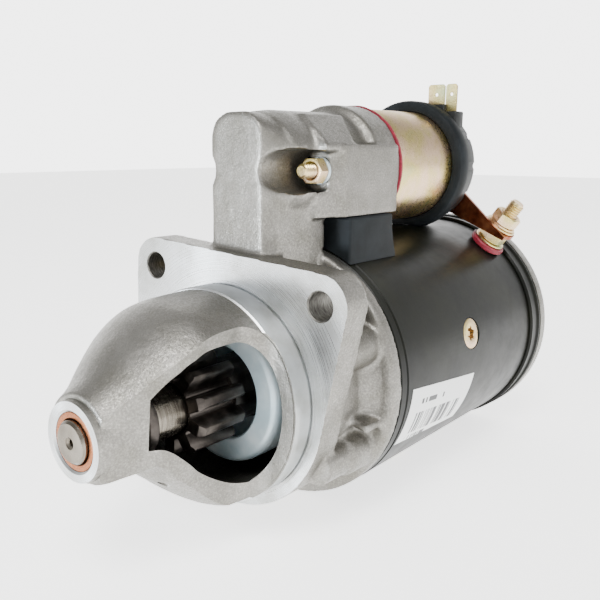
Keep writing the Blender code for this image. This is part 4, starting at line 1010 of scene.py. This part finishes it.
def cap_piece(black):
    """The moulded cap: a ribbed skirt, blade towers and holes for its two studs."""
    front, rear, outer = CAP_FRONT, CAP_REAR, CAP_RADIUS
    profile = [(front, outer - 6), (front, outer), (rear - 3.0, outer), (rear - 0.8, outer - 0.9)]
    profile += [(rear, outer - 2.6), (rear, 0), (rear - 5, 0), (rear - 5, outer - 6)]
    cap = turned("cap_of_solenoid", profile[5:] + profile[:5] + [(rear, 0)], FINE, SOLENOID_AXIS)
    for y, width in BLADES.values():
        top = SOLENOID_Z + math.sqrt(outer**2 - (abs(y) - width / 2) ** 2) + 1.2
        pad = block("pad", (148.2, y - width / 2 - 1.6, 106), (157.2, y + width / 2 + 1.4, top))
        boolean(cap, rounded(pad, 0.8), "UNION")
    for angle in range(-60, 241, 30):
        if angle == 90:
            continue
        notch = rod("notch", rear - 4.5, rear + 3, 2.2, 20)
        y, z = polar(outer + 0.4, angle)
        notch.location = Vector((0, y, SOLENOID_Z + z)) * MM
        boolean(cap, settle(notch))
    for y, z in (BATTERY_STUD, MOTOR_STUD):
        boolean(cap, rod("way", front - 2, rear + 6, 5.2, SMALL, (0, y, z)))
    rounded(cap, 0.3, 2, 40)
    return piece(cap, "frame_and_case", "terminal_cap", black)


def blade_piece(kind, zinc):
    """A push-on blade with clipped corners and its locking dimple."""
    y, width = BLADES[kind]
    low, high = span(f"{kind}_blade_terminal", 2)
    x0, x1 = span(f"{kind}_blade_terminal", 0)
    half = width / 2
    outline = [(y - half, low), (y - half, high - 1.0), (y - half + 1.0, high)]
    outline += [(y + half - 1.0, high), (y + half, high - 1.0), (y + half, low)]
    blade = plate(f"blade_{kind}", outline, x0, x1)
    boolean(blade, rod("dimple", x0 - 1, x1 + 1, 0.9, 24, (0, y, high - 5.2)))
    rounded(blade, 0.12, 1)
    return piece(blade, "frame_and_case", f"{kind}_blade_terminal", zinc)


# --- Motor casing --------------------------------------------------------------------------


def yoke_piece(paint):
    """The steel tube of the motor, with its drawn edge, screw seats and terminal hole."""
    front, rear, r = YOKE_FRONT, YOKE_REAR, YOKE_RADIUS
    profile = [(front, r - 6), (front, r - 1.0), (front + 0.6, r - 0.4), (front + 4.2, r - 0.3)]
    profile += [(front + 4.7, r - 0.7), (front + 5.2, r), (rear - 0.6, r), (rear, r - 0.6)]
    profile.append((rear, r - 6))
    yoke = turned("casing_of_motor", profile, 160)
    for angle in POLE_ANGLES:
        seat = [(45, 0), (45, 7.6), (YOKE_RADIUS - 0.5, 7.6), (65, 15), (65, 0)]
        boolean(yoke, turned("seat", seat, 48, (POLE_X, 0, 0), radial(angle)))
    boolean(yoke, rod("terminal_hole", 45, 65, 6.9, SMALL, (FIELD_X, 0, 0), radial(FIELD_ANGLE)))
    return piece(yoke, "frame_and_case", "yoke", paint)


def pole_screw(index, angle, zinc):
    """A flush pole screw with a six-lobed socket and a dished head."""
    head = YOKE_RADIUS - 0.35
    profile = [(44, 0), (44, 4), (53, 4), (53, 7.4), (head - 0.5, 7.4), (head, 6.9), (head, 4.6)]
    screw = turned(f"screw_of_pole_{index}", profile + [(head - 0.4, 0)], 48)
    outline = []
    for i in range(36):
        lobe = 3.1 + 0.55 * math.cos(math.radians(i * 10 * 6))
        outline.append(polar(lobe, i * 10))
    boolean(screw, plate("socket", outline, head - 3.5, head + 2))
    boolean(screw, rod("hub", head - 3.0, head - 1.2, 1.3, 20), "UNION")
    rounded(screw, 0.12, 1, 40)
    point_along(screw, (POLE_X, 0, 0), radial(angle))
    return piece(screw, "frame_and_case", f"pole_screw_{index}", zinc)


def cover_piece(paint):
    """The sheet band over the brush openings, beaded at both edges."""
    a, b, r = BAND_FRONT, BAND_REAR, BAND_RADIUS
    profile = [(a, r - 3.0), (a, r - 1.2), (a + 0.8, r - 0.2), (a + 1.8, r - 0.2)]
    profile += [(a + 2.6, r - 0.9), (b - 2.6, r - 0.9)]
    profile += [(b - 1.6, r), (b - 0.6, r), (b, r - 0.8), (b, r - 3.0)]
    band = turned("band_over_brushes", profile, 128)
    return piece(band, "frame_and_case", "cover_band", paint)


def end_piece(cast):
    """The rear bracket: a plain rim, a shallow dish, ribs, a bush boss and bolt seats."""
    rear, r = END_REAR, END_RADIUS
    seam, spigot = BAND_REAR + 0.3, BAND_RADIUS - 3.3
    profile = [(rear - 1.0, 0), (rear - 1.0, 13), (rear - 0.2, 15), (rear - 2.6, 19)]
    profile += [(rear - 2.6, 46), (rear - 0.6, 50), (rear, 52), (rear, r - 2.4)]
    profile += [(rear - 0.8, r - 0.7), (rear - 2.6, r), (seam, r), (seam, spigot)]
    profile += [(END_FRONT, spigot), (END_FRONT, YOKE_RADIUS - 6), (rear - 6, 46)]
    profile += [(rear - 6, 16.2), (rear - 15.5, 16), (rear - 15.5, 12), (rear - 3.4, 12)]
    profile.append((rear - 3.4, 0))
    profile.reverse()
    end = turned("rear_bracket", profile, 128)
    for angle in range(-12, 348, 60):
        web = block("web", (rear - 5, 14, -1.5), (rear - 1.2, 48, 1.5))
        web.rotation_euler.x = math.radians(angle)
        boolean(end, settle(web), "UNION")
    for angle in THROUGH_BOLT_ANGLES.values():
        centre = at_angle(THROUGH_BOLT_CIRCLE, angle)
        boolean(end, rod("seat", rear - 6, rear, 8.5, SMALL, centre), "UNION")
        boolean(end, rod("hole", rear - 20, rear + 5, 3.3, SMALL, centre))
    rounded(end, 0.5, 2, 38)
    return piece(end, "frame_and_case", "end_bracket", cast)


def through_bolt(kind, zinc):
    """A long bolt with a slotted hexagon washer head."""
    centre = at_angle(THROUGH_BOLT_CIRCLE, THROUGH_BOLT_ANGLES[kind])
    head = END_REAR + 0.3
    bolt = turned(f"bolt_{kind}", [(25, 0), (25, 3), (head + 1, 3), (head + 1, 0)], 32)
    nut = rod("head", head, head + 4.4, 5.7, 6)
    boolean(nut, block("slot", (head + 2.8, -7, -0.7), (head + 6, 7, 0.7)))
    boolean(bolt, rounded(nut, 0.35), "UNION")
    bolt.location = Vector(centre) * MM
    return piece(settle(bolt), "frame_and_case", f"through_bolt_{kind}", zinc)


def label_piece(paper):
    """A paper label, drawn flat beside the yoke and wrapped on to it."""
    bpy.ops.object.select_all(action="DESELECT")
    bpy.ops.mesh.primitive_grid_add(x_subdivisions=30, y_subdivisions=20, size=MM)
    label = bpy.context.object
    label.name = "label_on_motor"
    label.scale = (*LABEL_SIZE, 1)
    settle(label)
    label.rotation_euler = (math.radians(90), LABEL_TURN, 0)
    label.location = LABEL_CENTRE * MM
    settle(label)
    core = rod("core", 40, 190, YOKE_RADIUS + 0.12, 256)
    modified(label, "SHRINKWRAP", target=core, wrap_method="NEAREST_SURFACEPOINT")
    bpy.data.objects.remove(core)
    modified(label, "SOLIDIFY", thickness=0.16 * MM, offset=0.0)
    return piece(label, "frame_and_case", "rating_label", paper)


def splash_piece(rubber):
    """The rubber block between housing and yoke, flared where it meets the yoke."""
    a, b = BLOCK_FRONT, BLOCK_REAR
    outline = [(a, 42), (b + 7, 42), (b + 3.2, 49.5), (b + 0.8, 56), (b - 0.8, 63)]
    outline += [(b - 1.2, HOUSING_BOTTOM - 0.2), (a, HOUSING_BOTTOM - 0.2)]
    lump = plate("block_under_solenoid", outline, -BLOCK_SIDE, BLOCK_SIDE, 1)
    rounded(lump, 1.2, 3)
    boolean(lump, rod("seat", a - 8, b + 12, YOKE_RADIUS + 0.25, 160))
    return piece(lump, "frame_and_case", "splash_block", rubber)


# --- Field terminal and strap --------------------------------------------------------------


def field_pieces(zinc, red, copper):
    """The insulated stud on the yoke with its washers and nuts, and the strap that it holds."""
    base, out = (FIELD_X, 0, 0), radial(FIELD_ANGLE)
    seat = YOKE_RADIUS + 0.3
    stud_piece(
        "stud_of_field", 87.0, 46.0, 4.0, base, out, "frame_and_case", "field_terminal_stud",
        zinc, 16.0,
    )
    ring = [(seat - 6, 4.3), (seat - 6, 6.6), (seat, 6.6), (seat, 9.0), (seat + 0.5, 9.5)]
    ring += [(seat + 2.3, 9.5), (seat + 2.9, 8.9), (seat + 2.9, 4.3)]
    piece(turned("insulator_of_field", ring, 64, base, out), "frame_and_case", "field_insulator",
          red)
    washer = [(seat + 3.0, 4.3), (seat + 3.0, 8.2), (seat + 4.2, 8.2), (seat + 4.2, 4.3)]
    low = rounded(turned("washer_low", washer, 48, base, out), 0.3)
    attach(smooth(painted(low, zinc)), "frame_and_case")
    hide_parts("field_lower_nut")
    nut_piece("nut_low_of_field", seat + 4.3, 68.6, 12.6, 4.3, base, out, "field_lower_nut",
              zinc)
    top = 71.1
    for number, (start, radius) in enumerate(((top, 8.4), (top + 1.3, 7.4)), 1):
        disc = [(start, 4.3), (start, radius), (start + 1.2, radius), (start + 1.2, 4.3)]
        disc = rounded(turned(f"washer_top_{number}", disc, 48, base, out), 0.3)
        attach(smooth(painted(disc, zinc)), "frame_and_case")
        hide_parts("field_upper_nut")
    nut_piece("nut_top_of_field", top + 2.6, top + 8.4, 12.6, 4.3, base, out, "field_upper_nut",
              zinc)
    strap_piece(copper)


def strap_piece(copper):
    """A flat copper bar from the solenoid's lower stud, bent over to the stud on the yoke."""
    near, thick, half, bottom = CAP_REAR + 0.5, 1.9, 8.2, 69.05
    along, across = Vector(polar(1, FIELD_ANGLE)), Vector(polar(1, FIELD_ANGLE + 90))
    corners = ((bottom, -1), (bottom, 1), (bottom + thick, 1), (bottom + thick, -1))
    foot = [tuple(height * along + side * half * across) for height, side in corners]
    tab = plate("tab", foot, near, near + thick)
    eye = rod("eye", near, near + thick, 8.8, 48, (0, *MOTOR_STUD))
    upright = wrapped("strap", [eye, tab])
    shelf = block("shelf", (near, -half, bottom), (FIELD_X, half, bottom + thick))
    shelf.rotation_euler.x = math.radians(FIELD_ANGLE - 90)
    boolean(upright, settle(shelf), "UNION")
    base, out = (FIELD_X, 0, 0), radial(FIELD_ANGLE)
    boolean(upright, rod("eye", bottom, bottom + thick, 9.0, 48, base, out), "UNION")
    boolean(upright, rod("hole", 60, 80, 4.3, SMALL, base, out))
    boolean(upright, rod("hole", near - 3, near + 5, 5.3, SMALL, (0, *MOTOR_STUD)))
    upright.name = "strap_of_motor"
    rounded(upright, 0.45, 2, 34)
    return piece(upright, "frame_and_case", "copper_strap", copper)


# --- Small parts round the solenoid --------------------------------------------------------


def fixing_pieces(side, zinc, blue):
    """A stud that holds the solenoid, its spring washer and its nut, in a socket."""
    y = -STUD_OFFSET if side == "window" else STUD_OFFSET
    line, out = (0, y, SOLENOID_Z), (1, 0, 0)
    tip = span(f"fixing_stud_{side}", 0)[0]
    stud_piece(
        f"stud_{side}", tip, CAN_FRONT - 0.4, 3.0, line, out, "frame_and_case",
        f"fixing_stud_{side}", zinc, 14.0,
    )
    a, b = span(f"spring_washer_{side}", 0)
    ring = turned(f"washer_{side}", [(a, 3.3), (a, 5.5), (b, 5.5), (b, 3.3)], 48, line)
    boolean(ring, block("gap", (a - 1, y - 0.5, SOLENOID_Z + 2), (b + 1, y + 0.5, SOLENOID_Z + 8)))
    piece(rounded(ring, 0.2, 1), "frame_and_case", f"spring_washer_{side}", blue)
    a, b = span(f"fixing_nut_{side}", 0)
    nut_piece(f"nut_{side}", a, b, 10.0, 3.2, line, out, f"fixing_nut_{side}", zinc)


def terminal_pieces(zinc, copper):
    """The two threaded posts behind the cap and their nuts."""
    for kind, (y, z) in (("battery", BATTERY_STUD), ("motor", MOTOR_STUD)):
        line = (0, y, z)
        tip = span(f"{kind}_terminal_stud", 0)[1]
        stud_piece(
            f"post_{kind}", tip, CAP_REAR - 5.4, 5.0, line, (1, 0, 0), "frame_and_case",
            f"{kind}_terminal_stud", copper, tip - CAP_REAR - 0.5,
        )
        a, b = span(f"{kind}_terminal_nut", 0)
        nut_piece(f"nut_{kind}", a, b, 15.0, 5.2, line, (1, 0, 0), f"{kind}_terminal_nut",
                  zinc)


def pivot_piece(zinc):
    """The lever's pivot pin, with a slotted head on the far side of the tower."""
    start, end = span("lever_pivot_pin", 1)
    centre = [sum(span("lever_pivot_pin", axis)) / 2 for axis in (0, 2)]
    head = end - 4.5
    pin = [(start, 0), (start, 3.9), (head, 3.9), (head, 7.4), (end - 0.8, 7.4), (end, 6.4)]
    pin.append((end, 0))
    at = (centre[0], 0, centre[1])
    obj = turned("pin_of_lever", pin, 48, at, (0, 1, 0))
    slot = block("slot", (at[0] - 9, end - 1.4, at[2] - 0.8), (at[0] + 9, end + 2, at[2] + 0.8))
    boolean(obj, slot)
    return piece(obj, "frame_and_case", "lever_pivot_pin", zinc)


# --- Stage ---------------------------------------------------------------------------------


def area_light(name, at, aim, size, power, colour="#FFFFFF"):
    """A rectangular lamp at a place, in metres, turned to a point."""
    light = bpy.data.lights.new(name, "AREA")
    light.shape = "RECTANGLE"
    light.size, light.size_y = size
    light.energy = power
    light.color = linear(colour)[:3]
    obj = bpy.data.objects.new(name, light)
    obj.location = at
    obj.rotation_mode = "QUATERNION"
    obj.rotation_quaternion = (Vector(aim) - Vector(at)).to_track_quat("-Z", "Y")
    bpy.context.scene.collection.objects.link(obj)
    return obj


def studio():
    """A pale floor, a surround with one bright low wall behind the motor, and soft lights."""
    floor_z = CAD_BOX[0].z - 0.0002
    bpy.ops.object.select_all(action="DESELECT")
    bpy.ops.mesh.primitive_plane_add(size=8, location=(0, 0, floor_z))
    floor = bpy.context.object
    floor.name = "floor"
    material, shader = new_material("pale_floor", "#FAFAF8", 0.7)
    shader.inputs["Emission Color"].default_value = linear("#FFFFFF")
    shader.inputs["Emission Strength"].default_value = 2.1
    painted(floor, material)
    world = bpy.data.worlds.new("surround")
    bpy.context.scene.world = world
    world.use_nodes = True
    sky = world.node_tree.nodes["Background"]
    place = add_node(world, "TexCoord")
    parts = add_node(world, "SeparateXYZ", links={"Vector": (place, "Generated")})
    tone = ramp(world, parts, "Z", [(0.19, 1.0), (0.36, 0.62), (0.9, 0.36)])
    facing = {"operation": "DOT_PRODUCT", 1: (0.77, 0.64, 0.0)}
    toward = add_node(world, "VectorMath", facing, {0: (place, "Generated")})
    sweep = ramp(world, toward, "Value", [(0.5, 0.3), (0.8, 1.0)])
    light = add_node(
        world, "Math", {"operation": "MULTIPLY"}, {0: (tone, "Color"), 1: (sweep, "Color")}
    )
    connect(world, light, "Value", sky, "Color")
    sky.inputs["Strength"].default_value = 4.6
    aim = (0.03, 0, 0.02)
    area_light("key", (-0.55, -0.35, 0.95), aim, (0.5, 0.5), 14)
    area_light("side", (0.35, -1.1, 0.45), aim, (0.4, 0.9), 3.5)
    area_light("front", (-1.08, 0.21, 0.03), (0, 0, 0), (0.12, 0.12), 16, "#EAF4FF")


VIEW_PLACE = (-214.71, -206.83, 98.79)
VIEW_RIGHT = (0.63968, -0.76864, 0.00269)
VIEW_UP = (0.15912, 0.13584, 0.97787)
VIEW_AHEAD = (0.75199, 0.62509, -0.20920)
PICTURE = 600  # side of the square picture, in the units of the next two
FOCAL_LENGTH = 746.35
VIEW_CENTRE = (278.68, 306.56)  # where the view's axis meets the picture
SENSOR = 36  # millimetres


def camera():
    """A standing view from beside the nose, a little above the motor."""
    data = bpy.data.cameras.new("view")
    data.sensor_width = SENSOR
    data.lens = FOCAL_LENGTH * SENSOR / PICTURE
    data.shift_x = (PICTURE / 2 - VIEW_CENTRE[0]) / PICTURE
    data.shift_y = -(PICTURE / 2 - VIEW_CENTRE[1]) / PICTURE
    obj = bpy.data.objects.new("view", data)
    turn = Matrix((Vector(VIEW_RIGHT), Vector(VIEW_UP), -Vector(VIEW_AHEAD))).transposed()
    obj.matrix_world = Matrix.Translation(Vector(VIEW_PLACE) * MM) @ turn.to_4x4()
    bpy.context.scene.collection.objects.link(obj)
    bpy.context.scene.camera = obj


# --- Assembly ------------------------------------------------------------------------------


def dress_inner_nodes(finishes):
    """Gives the CAD nodes that stay in view their real materials."""
    slots = {row["node"]: row["material_slot"] for row in frame["record"]["subparts"]}
    for name, obj in frame["nodes"].items():
        if not obj.hide_render:
            painted(obj, finishes[slots[name]])


def main():
    camera()
    cast, machined = cast_aluminium(), machined_aluminium()
    zinc, blue, copper = yellow_zinc(), blue_zinc(), tarnished_copper()
    ground, dark, bronze = ground_steel(), oiled_steel(), sintered_bronze()
    rubber, red, black, paint = moulded_rubber(), red_fibre(), phenolic(), black_paint()
    nose_piece(cast, machined)
    body_piece(cast, machined, shaded_bore_aluminium())
    bush_piece(bronze)
    shaft_piece(ground)
    collar_piece(dark)
    pinion_piece(dark)
    clutch_piece(blue)
    can_piece(zinc)
    gasket_piece(red)
    rubber_ring(rubber)
    cap_piece(black)
    for kind in BLADES:
        blade_piece(kind, zinc)
    yoke_piece(paint)
    for index, angle in enumerate(POLE_ANGLES, 1):
        pole_screw(index, angle, zinc)
    cover_piece(paint)
    end_piece(cast)
    for kind in THROUGH_BOLT_ANGLES:
        through_bolt(kind, zinc)
        fixing_pieces(kind, zinc, blue)
    label_piece(printed_label())
    splash_piece(rubber)
    field_pieces(zinc, red, copper)
    terminal_pieces(zinc, copper)
    pivot_piece(zinc)
    finishes = {
        "cast_aluminium": cast, "bronze": bronze, "ground_steel": ground, "dark_steel": dark,
        "laminated_steel": laminated_steel(), "copper": copper, "blue_zinc": blue,
        "yellow_zinc": zinc, "carbon": carbon(), "black_paint": paint, "rubber": rubber,
        "red_gasket": red, "black_moulding": black,
    }
    dress_inner_nodes(finishes)
    studio()


main()
